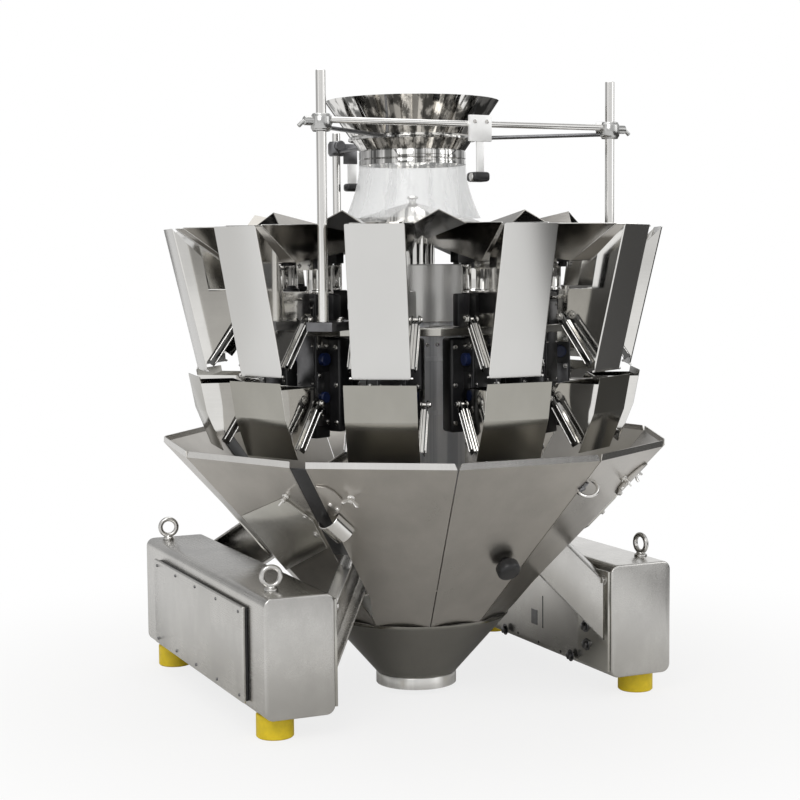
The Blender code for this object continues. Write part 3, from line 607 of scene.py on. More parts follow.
def block(x_range, y_range, z_range, edge=EDGE, steps=2):
    """A block with softened edges."""
    (x0, x1), (y0, y1) = x_range, y_range
    outline = [(x0, y0), (x1, y0), (x1, y1), (x0, y1)]
    return prism(outline, z_range[0], z_range[1], plain_point, edge, steps)


def head_block(u_range, v_range, z_range, edge=EDGE, steps=2):
    """A block of a head."""
    (u0, u1), (z0, z1) = u_range, z_range
    return section([(u0, z0), (u1, z0), (u1, z1), (u0, z1)], v_range[0], v_range[1], edge, steps)


def folded_sheet(outline, open_sides, half_width, thickness=SHEET, bend=BEND):
    """Sheet bent round three or more sides of a head's section, open along the named sides."""
    work = bmesh.new()
    near = [work.verts.new(section_point(u, z, -half_width)) for u, z in outline]
    far = [work.verts.new(section_point(u, z, half_width)) for u, z in outline]
    work.faces.new(near)
    work.faces.new(list(reversed(far)))
    for i in range(len(outline)):
        if i in open_sides:
            continue
        j = (i + 1) % len(outline)
        work.faces.new([near[i], far[i], far[j], near[j]])
    bmesh.ops.recalc_face_normals(work, faces=work.faces)
    folds = [e for e in work.edges if len(e.link_faces) == 2 and e.calc_face_angle(0.0) > 0.15]
    bmesh.ops.bevel(work, geom=folds, offset=bend, segments=4, profile=0.5, affect="EDGES",
                    clamp_overlap=True)
    bmesh.ops.recalc_face_normals(work, faces=work.faces)
    centre = sum((v.co for v in work.verts), Vector()) / len(work.verts)
    side = max(work.faces, key=lambda face: face.calc_area())
    outward = side.normal.dot(side.calc_center_median() - centre)
    if outward < 0:
        bmesh.ops.reverse_faces(work, faces=work.faces)
    bmesh.ops.solidify(work, geom=work.faces[:], thickness=thickness)
    return done(work)


def lathe(profile, sides=128, closed=True, centre=(0.0, 0.0), start=0.0, smooth=32.0):
    """Turn a (radius, z) profile about a vertical axis; radius 0 closes on the axis."""
    work = bmesh.new()
    cx, cy = centre
    columns = []
    for i in range(sides):
        angle = math.radians(start) + 2 * math.pi * i / sides
        columns.append([None if r == 0 else
                        work.verts.new((cx + r * math.sin(angle), cy - r * math.cos(angle), z))
                        for r, z in profile])
    poles = {k: work.verts.new((cx, cy, z)) for k, (r, z) in enumerate(profile) if r == 0}
    count = len(profile)
    for i in range(sides):
        here, after = columns[i], columns[(i + 1) % sides]
        for k in range(count if closed else count - 1):
            m = (k + 1) % count
            if k in poles and m in poles:
                continue
            corners = [poles.get(k, here[k]), poles.get(m, here[m]),
                       poles.get(m, after[m]), poles.get(k, after[k])]
            work.faces.new(list(dict.fromkeys(corners)))
    return done(work, smooth)


def rounded(profile, size=0.0008):
    """A closed profile whose corners are cut twice, so that a turned edge catches light."""
    points = []
    count = len(profile)
    for i, (r, z) in enumerate(profile):
        before, after = Vector(profile[i - 1]), Vector(profile[(i + 1) % count])
        here = Vector((r, z))
        if r == 0:
            points.append((r, z))
            continue
        for other in (before, after):
            gap = (other - here).length
            near = here + (other - here) * min(size / gap, 0.4) if gap > 0 else here
            points.append((max(near.x, 0.0), near.y))
    return points


def bar(start, end, radius, sides=28, edge=0.0006):
    """A round bar between two points, with chamfered ends."""
    start, end = Vector(start), Vector(end)
    length = (end - start).length
    profile = [(0, 0), (radius - edge, 0), (radius, edge), (radius, length - edge),
               (radius - edge, length), (0, length)]
    mesh = lathe(profile, sides, closed=False)
    turn = (end - start).to_track_quat("Z", "Y").to_matrix().to_4x4()
    mesh.transform(Matrix.Translation(start) @ turn)
    return mesh


def bent_wire(points, radius):
    """A round wire along a smooth path."""
    data = bpy.data.curves.new("path", "CURVE")
    data.dimensions = "3D"
    spline = data.splines.new("NURBS")
    spline.points.add(len(points) - 1)
    for slot, point in zip(spline.points, points):
        slot.co = (*point, 1.0)
    spline.order_u = 4
    spline.use_endpoint_u = True
    spline.resolution_u = 6
    data.bevel_depth = radius
    data.bevel_resolution = 2
    data.use_fill_caps = True
    holder = bpy.data.objects.new("path", data)
    bpy.context.scene.collection.objects.link(holder)
    mesh = bpy.data.meshes.new_from_object(
        holder.evaluated_get(bpy.context.evaluated_depsgraph_get()))
    bpy.data.objects.remove(holder, do_unlink=True)
    bpy.data.curves.remove(data)
    mesh.shade_smooth()
    return mesh


def torus(centre, axis, radius, thickness, sides=48, ring=16):
    """A round ring of wire."""
    work = bmesh.new()
    loops = []
    for i in range(sides):
        a = 2 * math.pi * i / sides
        loop = []
        for k in range(ring):
            b = 2 * math.pi * k / ring
            r = radius + thickness * math.cos(b)
            loop.append(work.verts.new((r * math.cos(a), r * math.sin(a), thickness * math.sin(b))))
        loops.append(loop)
    for i in range(sides):
        j = (i + 1) % sides
        for k in range(ring):
            m = (k + 1) % ring
            work.faces.new([loops[i][k], loops[j][k], loops[j][m], loops[i][m]])
    mesh = done(work, 60.0)
    turn = Vector(axis).to_track_quat("Z", "Y").to_matrix().to_4x4()
    mesh.transform(Matrix.Translation(Vector(centre)) @ turn)
    return mesh


def placed(mesh, position, normal, spin=0.0):
    """A mesh drawn round +Z at the origin, moved to a surface."""
    turn = Vector(normal).to_track_quat("Z", "Y").to_matrix().to_4x4()
    mesh.transform(Matrix.Translation(Vector(position)) @ turn @ Matrix.Rotation(spin, 4, "Z"))
    return mesh


def hex_bolt(position, normal, size):
    """A hexagon head on its washer."""
    outline = [(size * math.cos(math.radians(60 * k)), size * math.sin(math.radians(60 * k)))
               for k in range(6)]
    head = prism(outline, WASHER, WASHER + size * 0.75, plain_point, size * 0.10)
    washer = lathe(rounded([(0, 0), (size * 1.45, 0), (size * 1.45, WASHER), (0, WASHER)], 0.0004), 28,
                   closed=False)
    return [placed(head, position, normal, HEXAGON_SPIN), placed(washer, position, normal)]


def screw(position, normal, radius):
    """A low domed screw head whose socket shows as a dimple."""
    profile = [(0, radius * 0.30), (radius * 0.42, radius * 0.30), (radius * 0.50, radius * 0.62),
               (radius * 0.85, radius * 0.50), (radius, radius * 0.18), (radius, 0)]
    return [placed(lathe(profile, 20, closed=False), position, normal)]


def merged(parts):
    """One mesh of several: parts is a list of (mesh, finish), or (mesh, finishes by face)."""
    finishes = []
    work = bmesh.new()
    for mesh, finish in parts:
        given = finish if isinstance(finish, tuple) else (finish,)
        for one in given:
            if one not in finishes:
                finishes.append(one)
        for polygon in mesh.polygons:
            polygon.material_index = finishes.index(given[min(polygon.material_index, len(given) - 1)])
        work.from_mesh(mesh)
        bpy.data.meshes.remove(mesh)
    whole = bpy.data.meshes.new("whole")
    work.to_mesh(whole)
    work.free()
    for finish in finishes:
        whole.materials.append(finish)
    return whole


def with_finish(meshes, finish):
    """Meshes paired with one finish, as merged() takes them."""
    return [(mesh, finish) for mesh in meshes]


def piece(name, mesh, body="machine", turn=0.0, stands_for=()):
    """Show a mesh as a piece that rides on a body, turned about the ring's axis."""
    thing = bpy.data.objects.new(name, mesh)
    bpy.context.scene.collection.objects.link(thing)
    thing.location = (0.0, AXIS_Y, 0.0)
    thing.rotation_euler = (0.0, 0.0, math.radians(turn))
    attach(thing, body)
    if stands_for:
        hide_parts(*stands_for)
    return thing


def ring_point(slot, radius, z):
    """A point of the ring, at a place counted in heads from the front one."""
    angle = math.radians(slot * HEAD_STEP)
    return Vector((radius * math.sin(angle), -radius * math.cos(angle), z))


def turned(mesh, degrees):
    """A mesh turned about the ring's axis."""
    mesh.transform(Matrix.Rotation(math.radians(degrees), 4, "Z"))
    return mesh


# Hoppers and doors


def door_point(pivot, slope, distance, lift):
    """A point of a head's section, measured down a closed door from its hinge."""
    c, s = math.cos(math.radians(slope)), math.sin(math.radians(slope))
    return (pivot[0] + c * distance + s * lift, pivot[1] - s * distance + c * lift)


def door_reach(pivot, slope, lift, low, high, inset):
    """How far down the door line the outer plate's inner face is met."""
    c, s = math.cos(math.radians(slope)), math.sin(math.radians(slope))
    start = door_point(pivot, slope, 0.0, lift)
    lean = (high[0] - low[0]) / (high[1] - low[1])
    inner = low[0] - inset * math.sqrt(1 + lean * lean)
    return (inner + lean * (start[1] - low[1]) - start[0]) / (c + lean * s)


def arc(centre, start, end, radius, steps=8):
    """Points along a part of a circle, between two angles."""
    points = []
    for i in range(steps + 1):
        angle = math.radians(start + (end - start) * i / steps)
        points.append((centre[0] + radius * math.cos(angle), centre[1] + radius * math.sin(angle)))
    return points


def bucket(outline, folds, half_width):
    """A hopper's bent sheet, whose two sides take its second finish."""
    mesh = folded_sheet(outline, set(range(len(outline))) - set(range(folds)), half_width)
    for polygon in mesh.polygons:
        polygon.material_index = 1 if abs(polygon.normal.x) > 0.8 else 0
    return mesh


def hinge_pin(side, half_width, pivot, finish):
    """A hopper's hinge pin on one side, with its nut."""
    pin = bar((side * (half_width - 0.001), -pivot[0], pivot[1]),
              (side * (half_width + 0.0098), -pivot[0], pivot[1]), PIN_RADIUS)
    nut = hex_bolt((side * (half_width + 0.008), -pivot[0], pivot[1]), (side, 0, 0), 0.0052)
    return [(pin, finish["bolt"])] + with_finish(nut, finish["bolt"])


def feed_hopper(finish):
    """Tall bucket: outer plate bent round into two side plates, a back, hinge pins and hem tips."""
    slope, pivot = FEED_DOOR_SLOPE, FEED_PIVOT
    lip_end = door_reach(pivot, slope, LIP_LIFT, FEED_BOTTOM, FEED_TOP, 0.0)
    lip_high = door_point(pivot, slope, 0.006, LIP_LIFT)
    outline = [FEED_TOP, FEED_BOTTOM, door_point(pivot, slope, lip_end - 0.002, LIP_LIFT - 0.003),
               lip_high]
    outline += arc(pivot, 0, -180, EYE_RADIUS)
    outline += [(FEED_REAR, FEED_SIDE_KNEE[1]), FEED_SIDE_KNEE, FEED_SIDE_NOTCH, FEED_SIDE_TOP]
    sheet = bucket(outline, 1, FEED_HALF_WIDTH)
    wall = [(FEED_REAR + 0.0025, FEED_SIDE_KNEE[1] - 0.0005), lip_high]
    inner = [(u - 0.0016, z - 0.0006) for u, z in wall]
    back = section(wall + inner[::-1], -FEED_HALF_WIDTH + SHEET, FEED_HALF_WIDTH - SHEET, 0.0003, 1)
    hanger = head_block((FEED_REAR, FEED_REAR + 0.0022),
                        (-FEED_HALF_WIDTH + SHEET, FEED_HALF_WIDTH - SHEET),
                        (FEED_SIDE_KNEE[1] - 0.032, FEED_SIDE_KNEE[1]))
    parts = [(sheet, (finish["sheet"], finish["mirror"])), (back, finish["mirror"]),
             (hanger, finish["mirror"])]
    for side in (-1, 1):
        parts += hinge_pin(side, FEED_HALF_WIDTH, pivot, finish)
        tip = bar((side * (FEED_HALF_WIDTH - 0.001), -FEED_BOTTOM[0] + 0.001, FEED_BOTTOM[1] + 0.002),
                  (side * (FEED_HALF_WIDTH + 0.004), -FEED_BOTTOM[0] + 0.001, FEED_BOTTOM[1] + 0.002),
                  0.0026, 16)
        parts.append((tip, finish["bright"]))
    return merged(parts)


def weigh_hopper(finish):
    """Lower bucket, folded inwards near its bottom, with a back plate and hinge pins."""
    slope, pivot = WEIGH_DOOR_SLOPE, WEIGH_PIVOT
    lip_end = door_reach(pivot, slope, LIP_LIFT, WEIGH_BOTTOM, WEIGH_FOLD, 0.0)
    lip_high = door_point(pivot, slope, 0.006, LIP_LIFT)
    side_top = (WEIGH_TOP[0] - 0.003, WEIGH_REAR_TOP)
    outline = [WEIGH_TOP, WEIGH_FOLD, WEIGH_BOTTOM,
               door_point(pivot, slope, lip_end - 0.002, LIP_LIFT - 0.003), lip_high]
    outline += arc(pivot, 0, -180, EYE_RADIUS)
    outline += [(WEIGH_REAR - 0.016, WEIGH_REAR_TOP - 0.018), (WEIGH_REAR, WEIGH_REAR_TOP), side_top]
    sheet = bucket(outline, 2, WEIGH_HALF_WIDTH)
    back = head_block((WEIGH_REAR, WEIGH_REAR + 0.0018),
                      (-WEIGH_HALF_WIDTH + SHEET, WEIGH_HALF_WIDTH - SHEET),
                      (lip_high[1], WEIGH_REAR_TOP), 0.0003, 1)
    parts = [(sheet, (finish["weigh"], finish["mirror"])), (back, finish["mirror"])]
    for side in (-1, 1):
        parts += hinge_pin(side, WEIGH_HALF_WIDTH, pivot, finish)
    return merged(parts)


def door(finish, pivot, slope, low, high, half_width):
    """Slanting door with a flanged arm along each side."""
    plate_top = LIP_LIFT - DOOR_GAP
    tip = door_reach(pivot, slope, plate_top, low, high, 0.0025 + DOOR_GAP)
    arm_in = half_width + DOOR_GAP
    arm_out = arm_in + 0.0022
    plate = [door_point(pivot, slope, 0.0125, plate_top - 0.0022),
             door_point(pivot, slope, tip, plate_top - 0.0022),
             door_point(pivot, slope, tip, plate_top),
             door_point(pivot, slope, 0.0125, plate_top)]
    arm = arc(pivot, 90 - slope, 270 - slope, ARM_HALF_WIDTH)
    arm += [door_point(pivot, slope, tip + 0.002, -ARM_HALF_WIDTH * 0.75),
            door_point(pivot, slope, tip + 0.002, ARM_HALF_WIDTH)]
    parts = [(section(plate, -arm_out + 0.0004, arm_out - 0.0004, 0.0004, 1), finish["side"])]
    for side in (-1, 1):
        low_v, high_v = sorted((side * arm_in, side * arm_out))
        parts.append((section(arm, low_v, high_v), finish["arm"]))
        boss = bar((side * arm_in, -pivot[0], pivot[1]),
                   (side * (arm_out + 0.0012), -pivot[0], pivot[1]), 0.0060)
        parts.append((boss, finish["bright"]))
        for lift in (-ARM_HALF_WIDTH * 0.62, ARM_HALF_WIDTH * 0.72):
            first = door_point(pivot, slope, 0.016, lift)
            second = door_point(pivot, slope, tip - 0.004, lift)
            rail = bar((side * (arm_out + 0.0008), -first[0], first[1]),
                       (side * (arm_out + 0.0008), -second[0], second[1]), 0.0014, 12)
            parts.append((rail, finish["bright"]))
    return merged(parts)


def add_hoppers(finish):
    """Both rings of hoppers; the doors ride on their own bodies."""
    feed = feed_hopper(finish)
    weigh = weigh_hopper(finish)
    feed_door = door(finish, FEED_PIVOT, FEED_DOOR_SLOPE, FEED_BOTTOM, FEED_TOP, FEED_HALF_WIDTH)
    weigh_door = door(finish, WEIGH_PIVOT, WEIGH_DOOR_SLOPE, WEIGH_BOTTOM, WEIGH_FOLD, WEIGH_HALF_WIDTH)
    for head in range(HEADS):
        label = f"{head + 1:02d}"
        turn = head * HEAD_STEP
        piece(f"feed_bucket_{label}", feed, turn=turn, stands_for=[f"feed_hopper_{label}"])
        piece(f"weigh_bucket_{label}", weigh, turn=turn, stands_for=[f"weigh_hopper_{label}"])
        piece(f"feed_flap_{label}", feed_door, f"feed_door_{label}", turn, [f"feed_door_{label}"])
        piece(f"weigh_flap_{label}", weigh_door, f"weigh_door_{label}", turn, [f"weigh_door_{label}"])


# Central body


def add_column(finish):
    """Column and drum, with the ring of small screws under the drum and thin rods beside it."""
    column = lathe(rounded([(0, COLUMN_BOTTOM), (COLUMN_RADIUS - COLUMN_CHAMFER, COLUMN_BOTTOM),
                            (COLUMN_RADIUS, COLUMN_BOTTOM + COLUMN_CHAMFER),
                            (COLUMN_RADIUS, DRUM_BOTTOM + SEATED), (0, DRUM_BOTTOM + SEATED)], 0.001),
                   160, closed=False)
    drum = lathe(rounded([(0, DRUM_BOTTOM), (DRUM_RADIUS, DRUM_BOTTOM), (DRUM_RADIUS, DRUM_TOP),
                          (0, DRUM_TOP)], 0.0015), 160, closed=False)
    parts = [(column, finish["column"]), (drum, finish["drum"])]
    for k in range(3 * HEADS):
        spot = ring_point(k / 3, COLUMN_RADIUS, COLUMN_SCREWS_Z)
        parts += with_finish(screw(spot, (spot.x, spot.y, 0), 0.0042), finish["bolt"])
    for k in range(THIN_RODS):
        slot = THIN_ROD_FIRST_SLOT + k * HEADS / THIN_RODS
        low = ring_point(slot, DRUM_RADIUS + THIN_ROD_GAP, THIN_ROD_BOTTOM)
        parts.append((bar(low, low + Vector((0, 0, THIN_ROD_LENGTH)), THIN_ROD_RADIUS, 16),
                      finish["bright"]))
        for lift in THIN_ROD_NUT_LIFTS:
            parts += with_finish(hex_bolt(low + Vector((0, 0, lift)), (0, 0, 1), 0.0055), finish["bolt"])
    inner, outer = COLUMN_RADIUS - 0.002, COLUMN_RADIUS + 0.0016
    for z in HOOP_BOTTOMS:
        hoop = lathe(rounded([(inner, z), (outer, z), (outer, z + HOOP_HEIGHT), (inner, z + HOOP_HEIGHT)],
                             0.0004), 120)
        parts.append((hoop, finish["column"]))
    piece("column_and_drum", merged(parts), stands_for=["body_frame"])


def drive_side(side, finish):
    """The plates, bolts and caps on one side of a drive box."""
    inner, outer = DRIVE_INNER, DRIVE_OUTER
    low, high = sorted((side * (DRIVE_HALF_WIDTH - 0.0005), side * (DRIVE_HALF_WIDTH + CHEEK_RAISED)))
    along = (inner + CHEEK_INSET, outer - 0.003)
    parts = [(head_block(along, (low, high), UPPER_CHEEK, 0.0006), finish["lower"]),
             (head_block(along, (low, high), LOWER_CHEEK, 0.0006), finish["dark"])]
    near, far = inner + 0.009, outer - 0.009
    for u, z in ((near, 0.741), (far, 0.741), (near, 0.796), (far, 0.796), (near, 0.592), (far, 0.684)):
        bolt = hex_bolt((high if side > 0 else low, -u, z), (side, 0, 0), 0.0032)
        parts += with_finish(bolt, finish["bolt"])
    for u, z, radius, length, name in ((inner + 0.020, 0.715, 0.0125, 0.012, "blue"),
                                       (inner + 0.020, 0.640, 0.0115, 0.010, "blue"),
                                       (inner + 0.019, 0.768, 0.0095, 0.014, "bright"),
                                       (outer - 0.010, 0.612, 0.0070, 0.012, "bright")):
        start = Vector((side * (DRIVE_HALF_WIDTH - 0.001), -u, z))
        cap = bar(start, start + Vector((side * length, 0, 0)), radius, 24, 0.0012)
        parts.append((cap, finish[name]))
    return parts


def drive_unit(finish):
    """A head's black drive box with its motor, lid, sides and the two hopper hangers."""
    inner, outer, half = DRIVE_INNER, DRIVE_OUTER, DRIVE_HALF_WIDTH
    box = head_block((inner, outer), (-half, half), (DRIVE_BOTTOM, DRIVE_TOP), 0.003, 3)
    motor = head_block((inner - MOTOR_DEPTH, inner + SEATED), (-MOTOR_HALF_WIDTH, MOTOR_HALF_WIDTH),
                       (MOTOR_BOTTOM, MOTOR_TOP), 0.006, 3)
    neck = head_block((inner - NECK_DEPTH, inner + SEATED), (-NECK_HALF_WIDTH, NECK_HALF_WIDTH),
                      (RING_TOP + 0.0005, DRIVE_TOP), 0.004, 2)
    parts = with_finish((box, motor, neck), finish["black"])
    for side in (-1, 1):
        for z in MOTOR_BOLTS_Z:
            spot = (side * (MOTOR_HALF_WIDTH - 0.010), -inner - 0.004, z)
            parts += with_finish(hex_bolt(spot, (0, -1, 0), 0.0036), finish["bolt"])
    lid = head_block((outer - 0.001, outer + LID_RAISED), (-LID_HALF_WIDTH, LID_HALF_WIDTH),
                     (LID_BOTTOM, LID_TOP), 0.0006)
    parts.append((lid, finish["dark"]))
    for v in (0.004 - LID_HALF_WIDTH, LID_HALF_WIDTH - 0.004):
        for z in (LID_BOTTOM + 0.006, (LID_BOTTOM + LID_TOP) / 2, LID_TOP - 0.006):
            parts += with_finish(screw((v, -outer - LID_RAISED, z), (0, -1, 0), 0.0024), finish["bolt"])
    for side in (-1, 1):
        parts += drive_side(side, finish)
    for rear, z in ((FEED_REAR, FEED_HANGER_Z), (WEIGH_REAR, WEIGH_HANGER_Z)):
        hanger = head_block((outer - 0.002, rear - 0.0004), (-HANGER_HALF_WIDTH, HANGER_HALF_WIDTH),
                            (z, z + HANGER_THICKNESS))
        parts.append((hanger, finish["mirror"]))
    return parts


def junction_box(finish):
    """A black junction box between two heads, with its round cap."""
    half, top = JUNCTION_HALF_WIDTH, JUNCTION_TOP
    box = head_block((JUNCTION_INNER, JUNCTION_OUTER), (-half, half), (RING_TOP - 0.0005, top), 0.002, 2)
    profile = [(0, top - 0.001), (0.010, top - 0.001), (0.010, top + 0.009), (0.0165, top + 0.009),
               (0.0165, top + 0.018), (0.009, top + 0.020), (0.009, top + 0.025), (0, top + 0.025)]
    cap = lathe(rounded(profile, 0.0008), 28, closed=False, centre=(0.0, -JUNCTION_INNER - 0.020))
    parts = with_finish((box, cap), finish["black"])
    for v in (0.006 - half, half - 0.006):
        for z in (RING_TOP + 0.009, top - 0.007):
            parts += with_finish(screw((v, -JUNCTION_OUTER, z), (0, -1, 0), 0.0026), finish["bolt"])
    return parts


def add_ring(finish):
    """Support ring, spokes, drive units, junction boxes and post plates."""
    ring = lathe(rounded([(RING_INNER, RING_BOTTOM), (RING_OUTER, RING_BOTTOM), (RING_OUTER, RING_TOP),
                          (RING_INNER, RING_TOP)], 0.001), HEADS, start=HEAD_STEP / 2)
    parts = [(ring, finish["lower"])]
    for head in range(HEADS):
        spoke = head_block((COLUMN_RADIUS - 0.005, DRIVE_INNER + 0.005),
                           (-SPOKE_HALF_WIDTH, SPOKE_HALF_WIDTH), (SPOKE_BOTTOM, SPOKE_TOP))
        for mesh, name in drive_unit(finish) + [(spoke, finish["lower"])]:
            parts.append((turned(mesh, head * HEAD_STEP), name))
        slot = head + 0.5
        if slot not in NO_JUNCTION_SLOTS:
            parts += [(turned(mesh, slot * HEAD_STEP), name) for mesh, name in junction_box(finish)]
    for slot in POST_SLOTS:
        plate = head_block((POST_PLATE_INNER, POST_PLATE_OUTER),
                           (-POST_PLATE_HALF_WIDTH, POST_PLATE_HALF_WIDTH), (RING_TOP - 0.002, POST_FOOT_Z))
        parts.append((turned(plate, slot * HEAD_STEP), finish["dark"]))
        for u in POST_PLATE_BOLTS_U:
            for v in (-POST_PLATE_BOLT_V, POST_PLATE_BOLT_V):
                bolt = hex_bolt((v, -u, POST_FOOT_Z), (0, 0, 1), 0.0055)
                parts += [(turned(mesh, slot * HEAD_STEP), finish["bolt"]) for mesh in bolt]
    piece("drive_ring", merged(parts))


def leg_parts(slot, finish):
    """A diagonal channel leg, its pad on the base box and the pad's bolts."""
    angle = slot * HEAD_STEP
    across = math.sin(math.radians(angle))
    back = -math.cos(math.radians(angle))
    end = BASE_INNER_X / abs(across)
    half = LEG_HALF_WIDTH
    cut = [(end, LEG_END_TOP_Z - LEG_CUT_HEIGHT), (end - LEG_CUT_LENGTH, LEG_END_TOP_Z)]
    inner_top, inner_bottom = (LEG_INNER, LEG_COLUMN_TOP_Z), (LEG_INNER, LEG_COLUMN_BOTTOM_Z)
    outer_bottom = (end, LEG_END_BOTTOM_Z)
    web = section([outer_bottom] + cut + [inner_top, inner_bottom], -half, -half + LEG_WEB)
    top = [cut[1], inner_top]
    bottom = [outer_bottom, inner_bottom]
    flanges = [section(top + [(u, z - LEG_FLANGE) for u, z in top[::-1]], -half, half),
               section(bottom + [(u, z + LEG_FLANGE) for u, z in bottom[::-1]], -half, half),
               section(cut + [(u - 0.004, z - 0.001) for u, z in cut[::-1]], -half, half)]
    parts = [(turned(mesh, angle), finish["base"]) for mesh in [web] + flanges]
    side = 1 if across > 0 else -1
    reach = PAD_LENGTH / 2 + PAD_END_GAP
    mid_y = max(min(back * end, BASE_REAR_Y - reach), BASE_FRONT_Y + reach)
    face = side * (BASE_INNER_X - PAD_FACE)
    pad = block(sorted((face, side * (BASE_INNER_X - PAD_GAP))),
                (mid_y - PAD_LENGTH / 2, mid_y + PAD_LENGTH / 2), (PAD_BOTTOM_Z, PAD_TOP_Z), 0.0012)
    parts.append((pad, finish["lower"]))
    for y in (mid_y - PAD_BOLTS_Y, mid_y + PAD_BOLTS_Y):
        parts += with_finish(hex_bolt((face, y, PAD_BOLTS_Z), (-side, 0, 0), 0.0075), finish["bolt"])
    return parts


def add_legs(finish):
    """The four legs, from the column to the base boxes."""
    for slot, label in LEGS:
        piece(f"leg_{label}", merged(leg_parts(slot, finish)))


def pan_floor(u):
    """Height of the pans' floor at a distance from the ring's axis."""
    fall = (PAN_FLOOR_END[1] - PAN_FLOOR_INNER_Z) / (PAN_FLOOR_END[0] - PAN_INNER)
    return PAN_FLOOR_INNER_Z + fall * (u - PAN_INNER)


def pan_rows():
    """Half of a pan as rows of (u, v, z) points, each from the ridge down to the floor."""
    half = math.radians(HEAD_STEP / 2)
    ridges = [(radius * math.cos(half), radius * math.sin(half), z) for radius, z in
              ((PAN_INNER, PAN_RIDGE_INNER_TOP), (PAN_RIDGE_RADIUS, PAN_RIDGE_TOP))]
    middle_z = pan_floor(PAN_FLOOR_MIDDLE)
    rise = (middle_z - PAN_FLOOR_END[1]) / (PAN_BROW_END[1] - PAN_FLOOR_END[1])
    middle_half = PAN_FLOOR_HALF_WIDTH + (PAN_BROW_HALF_WIDTH - PAN_FLOOR_HALF_WIDTH) * rise
    return ([ridges[0], (PAN_INNER, PAN_BROW_INNER_HALF_WIDTH, PAN_BROW_INNER_Z),
             (PAN_INNER, PAN_FLOOR_INNER_HALF_WIDTH, PAN_FLOOR_INNER_Z)],
            [ridges[1], (PAN_BROW_START[0], PAN_BROW_HALF_WIDTH, PAN_BROW_START[1]),
             (PAN_FLOOR_MIDDLE, middle_half, middle_z)],
            [(PAN_BROW_END[0], PAN_BROW_HALF_WIDTH, PAN_BROW_END[1]),
             (PAN_FLOOR_END[0], PAN_FLOOR_HALF_WIDTH, PAN_FLOOR_END[1])])


def pan_sheet():
    """The pleated sheet of all pans; what faces down takes the second finish, a near-black painted shade.
    """
    work = bmesh.new()
    for head in range(HEADS):
        turn = Matrix.Rotation(math.radians(head * HEAD_STEP), 4, "Z")
        rows = []
        for half_row in pan_rows():
            full = [(u, -v, z) for u, v, z in half_row] + half_row[::-1]
            rows.append([work.verts.new(turn @ Vector((v, -u, z))) for u, v, z in full])
        inner, middle, outer = rows
        for before, after in ((inner, middle), (middle[1:-1], outer)):
            for k in range(len(after) - 1):
                work.faces.new([before[k], after[k], after[k + 1], before[k + 1]])
    bmesh.ops.remove_doubles(work, verts=work.verts, dist=0.0001)
    bmesh.ops.recalc_face_normals(work, faces=work.faces)
    bmesh.ops.solidify(work, geom=work.faces[:], thickness=0.0016)
    mesh = done(work, 20.0)
    for polygon in mesh.polygons:
        polygon.material_index = 1 if polygon.normal.z < -0.4 else 0
    return mesh


def vibrator(finish):
    """The polished can under a pan, its black drive block and rubber feet."""
    can = lathe(rounded([(0, DRIVE_TOP + 0.0004), (CAN_RADIUS, DRIVE_TOP + 0.0004),
                         (CAN_RADIUS, DRIVE_TOP + 0.006), (CAN_RADIUS - 0.0015, DRIVE_TOP + 0.008),
                         (CAN_RADIUS - 0.0015, CAN_TOP_Z - 0.008), (CAN_RADIUS, CAN_TOP_Z - 0.006),
                         (CAN_RADIUS, CAN_TOP_Z), (0, CAN_TOP_Z)], 0.0006), 64, closed=False,
                centre=(0.0, -CAN_U))
    top_in, top_out = pan_floor(BRACKET_INNER) - 0.0006, pan_floor(BRACKET_OUTER) - 0.0006
    block_low = BRACKET_BOTTOM_Z + 0.008
    drive = section([(BRACKET_INNER, block_low), (BRACKET_OUTER, block_low), (BRACKET_OUTER, top_out),
                     (BRACKET_INNER, top_in)], -0.026, 0.026, 0.0015, 2)
    plate = head_block((BRACKET_OUTER - 0.0005, BRACKET_OUTER + 0.0022), (-0.022, 0.022),
                       (BRACKET_BOTTOM_Z - 0.004, top_out - 0.002), 0.0006)
    parts = [(can, finish["polished"]), (drive, finish["black"]), (plate, finish["lower"])]
    for v in (-0.015, 0.015):
        for u in (BRACKET_INNER + 0.010, BRACKET_OUTER - 0.012):
            foot = bar((v, -u, BRACKET_BOTTOM_Z - 0.002), (v, -u, block_low + 0.001), 0.0075, 20)
            parts.append((foot, finish["black"]))
        parts += with_finish(hex_bolt((v, -BRACKET_OUTER - 0.0022, BRACKET_BOTTOM_Z + 0.004),
                                      (0, -1, 0), 0.0034), finish["bolt"])
    return parts


def add_pans(finish):
    """Ring of feeder pans with a hem along each wall, on their vibrators."""
    # The pans' down-facing faces take the near-black painted shade.
    parts = [(pan_sheet(), (finish["pan"], finish["under"]))]
    for head in range(HEADS):
        hems = []
        for side in (-1, 1):
            brow = [(side * PAN_BROW_HALF_WIDTH, -u, z) for u, z in (PAN_BROW_START, PAN_BROW_END)]
            foot = (side * PAN_FLOOR_HALF_WIDTH, -PAN_FLOOR_END[0], PAN_FLOOR_END[1])
            hems += [(bar(brow[0], brow[1], 0.0013, 10), finish["bright"]),
                     (bar(brow[1], foot, 0.0013, 10), finish["bright"])]
        parts += [(turned(mesh, head * HEAD_STEP), name) for mesh, name in hems + vibrator(finish)]
    piece("feeder_pans", merged(parts), stands_for=["feeder_ring"])


# Funnels, cone and chute


